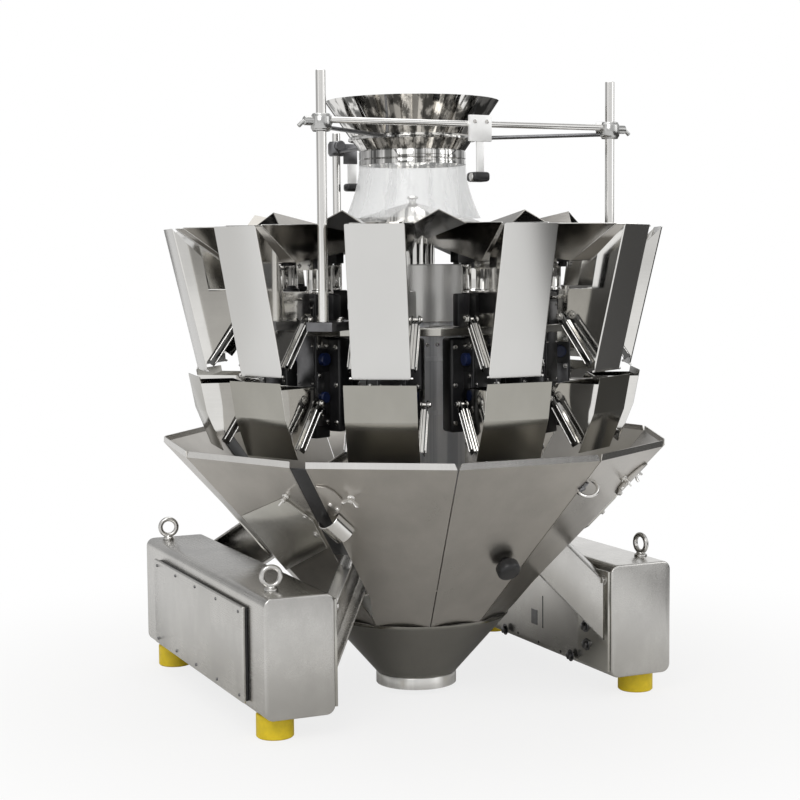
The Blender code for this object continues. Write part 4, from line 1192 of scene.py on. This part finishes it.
def add_cone(finish):
    """Spreading cone in the middle of the pans, with its knob."""
    profile = [(0, DRUM_TOP + 0.0004), (0.045, DRUM_TOP + 0.0004), (0.045, CONE_EDGE_Z + 0.008),
               (CONE_RADIUS - 0.004, CONE_EDGE_Z - 0.004), (CONE_RADIUS, CONE_EDGE_Z - 0.004),
               (CONE_RADIUS + 0.0002, CONE_EDGE_Z), (KNOB_RADIUS * 0.6, CONE_TOP_Z),
               (KNOB_RADIUS * 0.6, CONE_TOP_Z + 0.006), (KNOB_RADIUS, CONE_TOP_Z + 0.008),
               (KNOB_RADIUS, CONE_TOP_Z + KNOB_HEIGHT - 0.004),
               (KNOB_RADIUS * 0.7, CONE_TOP_Z + KNOB_HEIGHT - 0.001), (0, CONE_TOP_Z + KNOB_HEIGHT)]
    piece("spreading_cone", merged([(lathe(profile, 128, closed=False), finish["polished"])]),
          stands_for=["dispersion_cone"])


def add_infeed(finish):
    """Mirror-bright funnel with its collar, and the clear skirt."""
    r, n = FUNNEL_RIM_RADIUS, FUNNEL_NECK_RADIUS
    funnel = [(r, FUNNEL_RIM_Z), (n, FUNNEL_NECK_Z), (n + 0.002, FUNNEL_NECK_Z - 0.001),
              (n + 0.002, FUNNEL_NECK_Z - 0.016), (n + 0.0006, FUNNEL_NECK_Z - 0.0165),
              (n + 0.0006, COLLAR_BOTTOM_Z + 0.010), (n + 0.002, COLLAR_BOTTOM_Z + 0.009),
              (n + 0.002, COLLAR_BOTTOM_Z), (n - 0.0012, COLLAR_BOTTOM_Z),
              (n - 0.0012, FUNNEL_NECK_Z + 0.001), (r - 0.002, FUNNEL_RIM_Z)]
    piece("infeed_cone", merged([(lathe(rounded(funnel, 0.0004), 160), finish["funnel"])]),
          stands_for=["infeed_funnel"])
    outer, inner = [], []
    for i in range(15):
        t = i / 14
        radius = n + 0.002 + (SKIRT_BOTTOM_RADIUS - n - 0.002) * t ** 1.7
        z = COLLAR_BOTTOM_Z - 0.0003 + (SKIRT_BOTTOM_Z - COLLAR_BOTTOM_Z) * t
        outer.append((radius, z))
        inner.append((radius - 0.0015, z))
    piece("clear_skirt", merged([(lathe(outer + inner[::-1], 128), finish["clear"])]),
          stands_for=["infeed_skirt"])


def add_chute(finish):
    """Eleven folded facets with turned-out lips, slotted where the legs pass."""
    work = bmesh.new()
    half = math.radians(HEAD_STEP / 2)
    lip_low = CHUTE_RIM_Z - CHUTE_LIP_HEIGHT
    slope = (lip_low - CHUTE_BOTTOM_Z) / (CHUTE_RIM_RADIUS - CHUTE_BOTTOM_RADIUS)
    slots = {round(slot * 2) % (2 * HEADS) for slot, _ in LEGS}
    slot_end = SLOT_START + SLOT_RAMP
    for head in range(HEADS):
        turn = Matrix.Rotation(math.radians(head * HEAD_STEP), 4, "Z")

        def at(radius, side, z, inset):
            """A point by the facet's left or right fold, moved along the facet by inset."""
            u, v = radius * math.cos(half), side * (radius * math.sin(half) - inset)
            return work.verts.new(turn @ Vector((v, -u, z)))

        columns = []
        for side in (-1, 1):
            cut = (2 * head + side) % (2 * HEADS) in slots
            gap = SLOT_HALF_WIDTH / math.cos(half) if cut else 0.0
            columns.append([
                at(CHUTE_BOTTOM_RADIUS, side, CHUTE_BOTTOM_Z, SEAM),
                at(SLOT_START, side, CHUTE_BOTTOM_Z + slope * (SLOT_START - CHUTE_BOTTOM_RADIUS), SEAM),
                at(slot_end, side, CHUTE_BOTTOM_Z + slope * (slot_end - CHUTE_BOTTOM_RADIUS),
                   max(gap, SEAM)),
                at(CHUTE_RIM_RADIUS - 0.004, side, lip_low - 0.004 * slope, max(gap, SEAM)),
                at(CHUTE_RIM_RADIUS, side, lip_low, max(gap, 0.002)),
                at(CHUTE_RIM_RADIUS, side, CHUTE_RIM_Z, max(gap, 0.007))])
        left, right = columns
        for k in range(len(left) - 1):
            work.faces.new([left[k], right[k], right[k + 1], left[k + 1]])
    bmesh.ops.recalc_face_normals(work, faces=work.faces)
    outward = sum(f.normal.dot(Vector((f.calc_center_median().x, f.calc_center_median().y, 0)))
                  for f in work.faces)
    if outward < 0:
        bmesh.ops.reverse_faces(work, faces=work.faces)
    bmesh.ops.solidify(work, geom=work.faces[:], thickness=0.002)
    panels = done(work, 20.0)
    # Upright lip faces take the lighter copy of the chute's sheet: painted light.
    for polygon in panels.polygons:
        is_lip = abs(polygon.normal.z) < 0.25 and polygon.center.z > lip_low
        polygon.material_index = 1 if is_lip else 0
    piece("chute_panels", merged([(panels, (finish["chute"], finish["lip"]))]),
          stands_for=["collection_chute"])


def facet_point(slot, rise, along, lift=0.0):
    """A point by a chute facet: up its slope from its foot, sideways along it, off its face."""
    half = math.cos(math.radians(HEAD_STEP / 2))
    foot = Vector((CHUTE_BOTTOM_RADIUS * half, CHUTE_BOTTOM_Z))
    slope = (Vector((CHUTE_RIM_RADIUS * half, CHUTE_RIM_Z - CHUTE_LIP_HEIGHT)) - foot).normalized()
    u = foot.x + slope.x * rise + slope.y * lift
    z = foot.y + slope.y * rise - slope.x * lift
    return Matrix.Rotation(math.radians(slot * HEAD_STEP), 3, "Z") @ Vector((along, -u, z))


def facet_normal(slot):
    """The direction off a chute facet's outer face."""
    return facet_point(slot, 0.2, 0.0, 1.0) - facet_point(slot, 0.2, 0.0)


def facet_plate(slot, outline, low, high, mirror=1):
    """A flat plate on a facet, drawn as (rise, along) points."""
    points = [(rise, mirror * along) for rise, along in outline]
    return prism(points, low, high, lambda a, b, lift: facet_point(slot, a, b, lift), 0.0006, 2)


def wing_bolt(slot, rise, along, spin=0.6):
    """A wing screw on a chute facet."""
    foot, normal = facet_point(slot, rise, along), facet_normal(slot)
    wings = [(-0.004, 0.006), (-0.0155, 0.014), (-0.0165, 0.020), (-0.012, 0.0215), (-0.0045, 0.0125),
             (0.0045, 0.0125), (0.012, 0.0215), (0.0165, 0.020), (0.0155, 0.014), (0.004, 0.006)]
    wing = prism(wings, -0.0016, 0.0016, lambda x, z, y: Vector((x, y, z)), 0.0006, 2)
    stem = lathe(rounded([(0, 0), (0.0075, 0), (0.0075, 0.004), (0.0050, 0.0045), (0.0050, 0.0135),
                          (0, 0.0145)], 0.0005), 24, closed=False)
    return [placed(wing, foot, normal, spin), placed(stem, foot, normal)]


def slot_shade_sheet(slot):
    """Black sheet behind the open part of a leg's slot: painted shade, where the inside shows dark."""
    run = (CHUTE_RIM_Z - CHUTE_LIP_HEIGHT - CHUTE_BOTTOM_Z) / (CHUTE_RIM_RADIUS - CHUTE_BOTTOM_RADIUS)
    line = [(u, CHUTE_BOTTOM_Z + run * (u - CHUTE_BOTTOM_RADIUS))
            for u in (SLOT_SHADE_START, CHUTE_RIM_RADIUS - 0.006)]
    outline = [(u - 0.003, z + 0.003) for u, z in line] + [(u - 0.006, z + 0.006) for u, z in line[::-1]]
    half = SLOT_HALF_WIDTH + 0.004
    return turned(section(outline, -half, half), slot * HEAD_STEP)


def bridge(facet, mirror):
    """The half-round sleeve that joins a strap and a flap across a slot."""
    rise, along = BRIDGE_PLACE
    middle = facet_point(facet, rise, mirror * along)
    aim = facet_point(facet, rise - 0.87, -mirror * (0.5 - along))
    lengthwise = (aim - middle).normalized()
    normal = facet_normal(facet)
    across = lengthwise.cross(normal)
    bow = arc((0, 0), 0, 180, BRIDGE_RADIUS, 12) + arc((0, 0), 180, 0, BRIDGE_RADIUS - 0.0023, 12)
    return prism(bow, -BRIDGE_HALF_LENGTH, BRIDGE_HALF_LENGTH,
                 lambda a, b, c: middle + across * a + normal * (b + 0.002) + lengthwise * c, 0.0005, 1)


def slot_fittings(slot, finish):
    """What clamps the chute's sections together on both sides of a leg's slot."""
    strapped, flapped, side = slot - 0.5, slot + 0.5, 1
    if slot > 0:
        strapped, flapped, side = flapped, strapped, -1
    if abs(slot) > HEADS / 4:
        strapped, flapped, side = flapped, strapped, -side
    strap = facet_plate(strapped, STRAP_OUTLINE, PLATE_LOW, PLATE_HIGH, side)
    flap = facet_plate(flapped, FLAP_OUTLINE, PLATE_LOW, PLATE_HIGH, side)
    parts = [(strap, finish["lower"]), (flap, finish["chute"])]
    rise, along = STRAP_WING
    parts += with_finish(wing_bolt(strapped, rise, side * along), finish["bright"])
    rise, along = FLAP_WING
    parts += with_finish(wing_bolt(flapped, rise, -side * along, -0.4), finish["bright"])
    for rise, along in FLAP_SCREWS:
        spot = facet_point(flapped, rise, -side * along, PLATE_HIGH)
        parts += with_finish(screw(spot, facet_normal(flapped), 0.0045), finish["bright"])
    for rise, along in STRAP_BOLTS:
        spot = facet_point(strapped, rise, side * along, PLATE_HIGH)
        parts += with_finish(hex_bolt(spot, facet_normal(strapped), 0.0048), finish["bolt"])
    # Black sheet in the slot: painted shade.
    parts.append((slot_shade_sheet(slot), finish["black"]))
    if slot in BRIDGED_SLOTS:
        parts.append((bridge(flapped, -side), finish["polished"]))
    return parts


def pull_ring(finish):
    """A ring on a hook that draws the right-hand chute section tight."""
    root = facet_point(PULL_FACET, *PULL_ROOT)
    centre = facet_point(PULL_FACET, *PULL_CENTRE)
    ring = torus(centre, PULL_AXIS, PULL_RADIUS, 0.0034)
    hook = bent_wire([root, root.lerp(centre, 0.3) + facet_normal(PULL_FACET) * 0.012,
                      centre - Vector((0.020, 0.0, -0.004)), centre - Vector((0.016, 0.0, 0.006))],
                     0.0032)
    foot = facet_plate(PULL_FACET, PULL_FOOT, PLATE_LOW, 0.004)
    return [(ring, finish["polished"]), (hook, finish["dark"]), (foot, finish["dark"])]


def ball_knob(finish):
    """Black knob on a stem, near the foot of the front facet."""
    profile = rounded([(0, 0), (0.012, 0), (0.012, 0.007), (0.021, 0.009), (0.0235, 0.013),
                       (0.0235, 0.028), (0.020, 0.0325), (0.012, 0.0345), (0, 0.035)], 0.0015)
    knob = lathe(profile, 48, closed=False, smooth=50.0)
    return [(placed(knob, facet_point(0, *KNOB_PLACE), facet_normal(0)), finish["black"])]


def add_fittings(finish):
    """Clamps on both sides of the legs' slots, the pull ring and the knob."""
    for slot, label in LEGS:
        piece(f"chute_clamps_{label}", merged(slot_fittings(slot, finish)))
    piece("chute_pull_ring", merged(pull_ring(finish)))
    piece("chute_knob", merged(ball_knob(finish)))


def add_discharge(finish):
    """Round funnel under the chute, whose rim shows past the chute's straight edges."""
    top, rim = CHUTE_BOTTOM_Z - 0.0003, DISCHARGE_RIM_RADIUS
    cone = [(rim, top), (rim, top - 0.006), (rim - 0.002, top - 0.007), (OUTLET_RADIUS, OUTLET_TOP_Z),
            (OUTLET_RADIUS - 0.0018, OUTLET_TOP_Z + 0.001), (rim - 0.004, top - 0.006), (rim - 0.0018, top)]
    collar = [(OUTLET_RADIUS, OUTLET_TOP_Z), (OUTLET_RADIUS + 0.0012, OUTLET_TOP_Z - 0.001),
              (OUTLET_RADIUS + 0.0012, OUTLET_BOTTOM_Z), (OUTLET_RADIUS - 0.0018, OUTLET_BOTTOM_Z),
              (OUTLET_RADIUS - 0.0018, OUTLET_TOP_Z)]
    # The cone takes the outlet steel, darkened as painted shade.
    parts = [(lathe(rounded(cone, 0.0004), 160), finish["outlet"]),
             (lathe(rounded(collar, 0.0004), 160), finish["drum"])]
    piece("discharge_cone", merged(parts), stands_for=["discharge_funnel"])


# Base


def base_shell(side):
    """Long box with rounded lengthwise edges and softly rounded ends."""
    r = BASE_BEND
    corners = ((BASE_OUTER_X - r, BASE_TOP_Z - r, 0), (BASE_INNER_X + r, BASE_TOP_Z - r, 90),
               (BASE_INNER_X + r, BASE_BOTTOM_Z + r, 180), (BASE_OUTER_X - r, BASE_BOTTOM_Z + r, 270))
    outline = []
    for x, z, start in corners:
        outline += arc((x, z), start, start + 90, r, 8)
    outline = [(side * x, z) for x, z in outline]
    return prism(outline, BASE_FRONT_Y, BASE_REAR_Y, lambda x, z, y: Vector((x, y, z)), 0.004, 4)


def eyebolt(x, y, facing, finish):
    """Lifting eye on its collar."""
    z = BASE_TOP_Z
    collar = lathe(rounded([(0, z), (0.0135, z), (0.0135, z + 0.004), (0.0095, z + 0.006),
                            (0.0085, z + 0.010), (0, z + 0.010)], 0.0006), 32, closed=False,
                   centre=(x, y))
    ring = torus((x, y, z + EYE_CENTRE_HEIGHT), facing, EYE_RING_RADIUS, EYE_WIRE_RADIUS)
    return [(collar, finish["bolt"]), (ring, finish["bolt"])]


def inner_wall(side, finish):
    """Bolts, holes and the cable slit on a base box's wall towards the machine."""
    face = side * BASE_INNER_X
    inward = (-side, 0, 0)
    parts = []
    for y, z in INNER_BOLTS:
        bolt = hex_bolt((face - side * INNER_BOLT_STAND, y, z), inward, 0.0088)
        parts += with_finish(bolt, finish["dark"])
    for y, z in INNER_PLUGS:
        plug = lathe([(0, 0.0004), (0.0030, 0.0004), (0.0034, 0)], 20, closed=False)
        parts.append((placed(plug, (face, y, z), inward), finish["black"]))
    buried = face + side * 0.002
    slit = block(sorted((face - side * 0.0006, buried)), *CABLE_SLIT, 0.0002, 1)
    frame = block(sorted((face - side * 0.0008, buried)), *SMALL_FRAME, 0.0003, 1)
    return parts + [(slit, finish["black"]), (frame, finish["dark"])]


def add_base(finish):
    """Two long boxes with their covers on black strips, feet and lifting eyes."""
    for side, label in ((-1, "left"), (1, "right")):
        case = [(base_shell(side), finish["base"])] + inner_wall(side, finish)
        piece(f"base_case_{label}", merged(case), stands_for=[f"base_{label}"])
        face = side * (BASE_OUTER_X + 0.0004)
        lift = side * BLACK_STRIP
        # A black strip under each cover, a little smaller than the cover, shows as a dark line round it.
        black_strip = block(sorted((face, face + lift)), (COVER_FRONT_Y + 0.003, COVER_REAR_Y - 0.003),
                       (COVER_BOTTOM_Z + 0.003, COVER_TOP_Z - 0.003), 0.0008, 1)
        lid = block(sorted((face + lift, face + side * COVER_DEPTH)), (COVER_FRONT_Y, COVER_REAR_Y),
                    (COVER_BOTTOM_Z, COVER_TOP_Z), 0.0022, 3)
        parts = [(black_strip, finish["black"]), (lid, finish["base"])]
        for k in range(COVER_SCREW_ROWS):
            share = k / (COVER_SCREW_ROWS - 1)
            y = COVER_FRONT_Y + 0.022 + (COVER_REAR_Y - COVER_FRONT_Y - 0.044) * share
            for z in (COVER_BOTTOM_Z + 0.012, COVER_TOP_Z - 0.012):
                parts += with_finish(screw((face + side * COVER_DEPTH, y, z), (side, 0, 0), 0.0032),
                                     finish["dark"])
        piece(f"cover_plate_{label}", merged(parts), stands_for=[f"cover_{label}"])
        for y, end in ((BASE_FRONT_Y + FOOT_INSET_Y, "front"), (BASE_REAR_Y - FOOT_INSET_Y, "rear")):
            foot = lathe(rounded([(0, 0), (FOOT_RADIUS, 0), (FOOT_RADIUS, BASE_BOTTOM_Z - 0.0005),
                                  (0, BASE_BOTTOM_Z - 0.0005)], 0.0022), 64, closed=False,
                         centre=(side * FOOT_X, y))
            piece(f"foot_pad_{end}_{label}", merged([(foot, finish["yellow"])]),
                  stands_for=[f"foot_{end}_{label}"])
    eyes = []
    for x, facing in EYES:
        for y in EYE_ROWS_Y:
            eyes += eyebolt(x, y, facing, finish)
    piece("lifting_eyes", merged(eyes))


# Infeed stand


def post_clamp(slot):
    """Split clamp on a post, with its boss for the rods and a screw with a bent handle."""
    centre = ring_point(slot, POST_RING_RADIUS, 0)
    low, high, end, wide = CLAMP_BOTTOM_Z, CLAMP_TOP_Z, CLAMP_END_RADIUS, CLAMP_RADIUS
    body = lathe(rounded([(0, low), (end, low), (end, low + 0.003), (wide, low + 0.005),
                          (wide, high - 0.005), (end, high - 0.003), (end, high), (0, high)], 0.0014),
                 40, closed=False)
    body.transform(Matrix.Translation(centre))
    inward = -Vector((centre.x, centre.y, 0)).normalized()
    boss = bar(centre + inward * 0.004 + Vector((0, 0, FRONT_ROD_Z)),
               centre + inward * 0.027 + Vector((0, 0, FRONT_ROD_Z)), 0.0125, 28, 0.0015)
    sideways = Vector((math.copysign(1.0, centre.x), 0, 0))
    root = centre + sideways * 0.014 + Vector((0, 0, CLAMP_SCREW_Z))
    stem = bar(root, root + sideways * 0.021, 0.0085, 24, 0.0015)
    tip = root + sideways * 0.019
    handle = bent_wire([tip, tip + sideways * 0.006 - Vector((0, 0, 0.004)),
                        tip + sideways * 0.012 - Vector((0, 0, 0.010))], 0.0040)
    return [body, boss, stem, handle]


def rear_sensor(finish):
    """The second level sensor, on a plate from the rear clamp."""
    post = ring_point(POST_SLOTS[2], POST_RING_RADIUS, 0)
    plate = block((post.x + 0.008, post.x + 0.042), (post.y - 0.024, post.y - 0.020), (1.128, 1.174),
                  0.001)
    hanger = block((post.x + 0.018, post.x + 0.040), (post.y - 0.0235, post.y - 0.0205), (1.080, 1.130),
                   0.001)
    sensor = block((post.x + 0.014, post.x + 0.048), (post.y - 0.030, post.y - 0.002),
                   (REAR_SENSOR_BOTTOM_Z, REAR_SENSOR_TOP_Z), 0.006, 3)
    return [(plate, finish["dark"]), (hanger, finish["bracket"]), (sensor, finish["black"])]


def front_sensor(y, finish):
    """The level sensor on its two-part bracket, which hangs from the front rod."""
    x, half = SENSOR_X, SENSOR_HALF_LENGTH
    plate = block((x - 0.024, x + 0.024), (y - 0.012, y - 0.004), (1.135, 1.1856), 0.001)
    hanger = block((x - 0.008, x + 0.008), (y - 0.010, y - 0.0055), (1.068, 1.140), 0.001)
    sensor = block((x - half, x + half), (y - half, y + half), (SENSOR_BOTTOM_Z, SENSOR_TOP_Z), 0.006, 3)
    eye_z = (SENSOR_BOTTOM_Z + SENSOR_TOP_Z) / 2
    eye = bar((x - half - 0.002, y - 0.006, eye_z), (x - half + 0.0025, y - 0.006, eye_z), 0.0075, 28)
    parts = with_finish((plate, hanger), finish["bracket"])
    parts += [(sensor, finish["black"]), (eye, finish["bright"])]
    for screw_x in (x - 0.013, x + 0.013):
        parts += with_finish(screw((screw_x, y - 0.012, 1.173), (0, -1, 0), 0.004), finish["bolt"])
    return parts


def add_stand(finish):
    """Posts, clamps, rods, the holder ring and the two level sensors."""
    parts = []
    for slot in POST_SLOTS:
        is_rear = slot == POST_SLOTS[2]
        post = bar(ring_point(slot, POST_RING_RADIUS, POST_FOOT_Z + 0.0003),
                   ring_point(slot, POST_RING_RADIUS, REAR_POST_TOP_Z if is_rear else POST_TOP_Z),
                   POST_RADIUS, 40)
        parts.append((post, finish["bright"]))
        parts += with_finish(post_clamp(slot), finish["dark" if is_rear else "grip"])
        arm = bar(ring_point(slot, POST_RING_RADIUS, HOLDER_Z),
                  ring_point(slot, HOLDER_OUTER + 0.001, HOLDER_Z), ARM_ROD_RADIUS)
        parts.append((arm, finish["dark"]))
    left, right = (ring_point(slot, POST_RING_RADIUS, FRONT_ROD_Z) for slot in POST_SLOTS[:2])
    parts.append((bar(left, right, FRONT_ROD_RADIUS, 32), finish["bright"]))
    low, high = HOLDER_Z - HOLDER_HALF_HEIGHT, HOLDER_Z + HOLDER_HALF_HEIGHT
    holder = lathe(rounded([(HOLDER_INNER, low), (HOLDER_OUTER, low), (HOLDER_OUTER, high),
                            (HOLDER_INNER, high)], 0.001), 128)
    parts.append((holder, finish["funnel"]))
    parts += rear_sensor(finish) + front_sensor(left.y, finish)
    piece("stand_frame", merged(parts), stands_for=["infeed_stand"])


# Studio


def add_floor():
    """White floor that keeps the shadow, and that shows white in the metal further out, except to the right
    and towards the rear, where painted shade makes it dark in the metal.
    """
    mesh = bpy.data.meshes.new("floor")
    work = bmesh.new()
    bmesh.ops.create_grid(work, x_segments=1, y_segments=1, size=60.0)
    work.to_mesh(mesh)
    work.free()
    floor = bpy.data.objects.new("floor", mesh)
    bpy.context.scene.collection.objects.link(floor)
    material = bpy.data.materials.new("studio_floor")
    material.use_nodes = True
    tree = Tree(material.node_tree)
    material.node_tree.nodes.remove(material.node_tree.nodes["Principled BSDF"])
    camera_ray = tree.node("LightPath", output="Is Camera Ray")
    glossy_ray = tree.node("LightPath", output="Is Glossy Ray")
    clear_ray = tree.node("LightPath", output="Is Transmission Ray")
    place = tree.node("TexCoord", output="Object")
    distance = tree.node("VectorMath", {"operation": "LENGTH"}, {0: place}, "Value")
    away = tree.ramp(distance, 0.55, 1.50)
    sideways = tree.node("SeparateXYZ", {}, {"Vector": place}, "X")
    rearwards = tree.node("SeparateXYZ", {}, {"Vector": place}, "Y")
    # Painted shade: for the metal's reflections the floor turns dark to the right and dimmer towards the
    # rear.
    shade = tree.ramp(sideways, 1.10, 1.60)
    dim = 1.0 - tree.ramp(rearwards, 0.40, 1.05) * 0.44
    glow = tree.node("Emission", {}, {"Color": (1.0, 1.0, 1.0, 1.0), "Strength": 1.0})
    matt_tone_painted_shade = tree.blend(shade, (0.66, 0.65, 0.63, 1.0), (0.10, 0.098, 0.095, 1.0))
    matt = tree.node("BsdfDiffuse", {}, {"Color": matt_tone_painted_shade})
    white = (camera_ray + clear_ray) * (0.80 + away * 0.20) + glossy_ray * away * (1.0 - shade) * dim
    mixed = tree.node("MixShader", {}, {"Fac": white, 1: matt, 2: glow})
    join(tree.tree, material.node_tree.nodes["Material Output"].inputs["Surface"], mixed)
    mesh.materials.append(material)


def add_backdrop():
    """White behind the machine, and a soft studio all round that the metal reflects."""
    world = bpy.data.worlds.new("studio")
    bpy.context.scene.world = world
    world.use_nodes = True
    tree = Tree(world.node_tree)
    way = tree.node("TexCoord", output="Generated")
    sine, cosine = math.sin(STUDIO_HEADING), math.cos(STUDIO_HEADING)
    front = tree.along(way, (-sine, -cosine, 0.0))
    side = tree.along(way, (cosine, -sine, 0.0))
    up = tree.along(way, (0.0, 0.0, 1.0))
    level = 0.12 + tree.ramp(front, 0.10, 0.60) * 0.66
    level = level + tree.ramp(up, 0.30, 0.85) * 0.40
    behind = tree.ramp(front * -1.0, 0.50, 0.85)
    level = level + behind * (0.40 + tree.ramp(side, -0.12, 0.04) * 0.48)
    level = level + tree.ramp(side * -1.0, 0.62, 0.82) * 0.34
    level = level + tree.ramp(side, 0.62, 0.72) * (1.0 - tree.ramp(side, 0.92, 0.97)) * 0.32
    camera_ray = tree.node("LightPath", output="Is Camera Ray")
    clear_ray = tree.node("LightPath", output="Is Transmission Ray")
    seen = camera_ray.biggest(clear_ray)
    backdrop = world.node_tree.nodes["Background"]
    join(tree.tree, backdrop.inputs["Color"], (1.0, 1.0, 1.0, 1.0))
    join(tree.tree, backdrop.inputs["Strength"], seen + (1.0 - seen) * level)


def add_lamps():
    """Three soft square lamps that all aim at the middle of the machine."""
    for name, place, size, power in LAMPS:
        lamp = bpy.data.lights.new(name, "AREA")
        lamp.shape = "SQUARE"
        lamp.size = size
        lamp.energy = power
        thing = bpy.data.objects.new(name, lamp)
        bpy.context.scene.collection.objects.link(thing)
        thing.location = place
        aim = Vector(LAMP_TARGET) - Vector(place)
        thing.rotation_euler = aim.to_track_quat("-Z", "Y").to_euler()


def add_camera():
    """Camera at the photograph's viewpoint."""
    ahead = Vector((math.sin(CAMERA_HEADING) * math.cos(CAMERA_PITCH),
                    math.cos(CAMERA_HEADING) * math.cos(CAMERA_PITCH), -math.sin(CAMERA_PITCH)))
    level = ahead.cross(Vector((0, 0, 1))).normalized()
    upright = level.cross(ahead)
    right = level * math.cos(CAMERA_ROLL) + upright * math.sin(CAMERA_ROLL)
    above = upright * math.cos(CAMERA_ROLL) - level * math.sin(CAMERA_ROLL)
    data = bpy.data.cameras.new("camera")
    data.sensor_width = FILM_WIDTH_MM
    data.lens = FOCAL_PIXELS / PHOTO_PIXELS * FILM_WIDTH_MM
    data.clip_end = 200.0
    thing = bpy.data.objects.new("camera", data)
    bpy.context.scene.collection.objects.link(thing)
    place = Vector((-math.sin(CAMERA_STAND) * CAMERA_DISTANCE,
                    -math.cos(CAMERA_STAND) * CAMERA_DISTANCE + AXIS_Y, CAMERA_HEIGHT))
    turn = Matrix((right, above, -ahead)).transposed().to_4x4()
    thing.matrix_world = Matrix.Translation(place) @ turn
    bpy.context.scene.camera = thing


def main():
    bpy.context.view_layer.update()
    finish = make_finishes()
    add_hoppers(finish)
    add_column(finish)
    add_ring(finish)
    add_legs(finish)
    add_pans(finish)
    add_cone(finish)
    add_infeed(finish)
    add_chute(finish)
    add_fittings(finish)
    add_discharge(finish)
    add_base(finish)
    add_stand(finish)
    add_floor()
    add_backdrop()
    add_lamps()
    add_camera()
    bpy.context.scene.view_settings.view_transform = "Standard"


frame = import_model()
main()
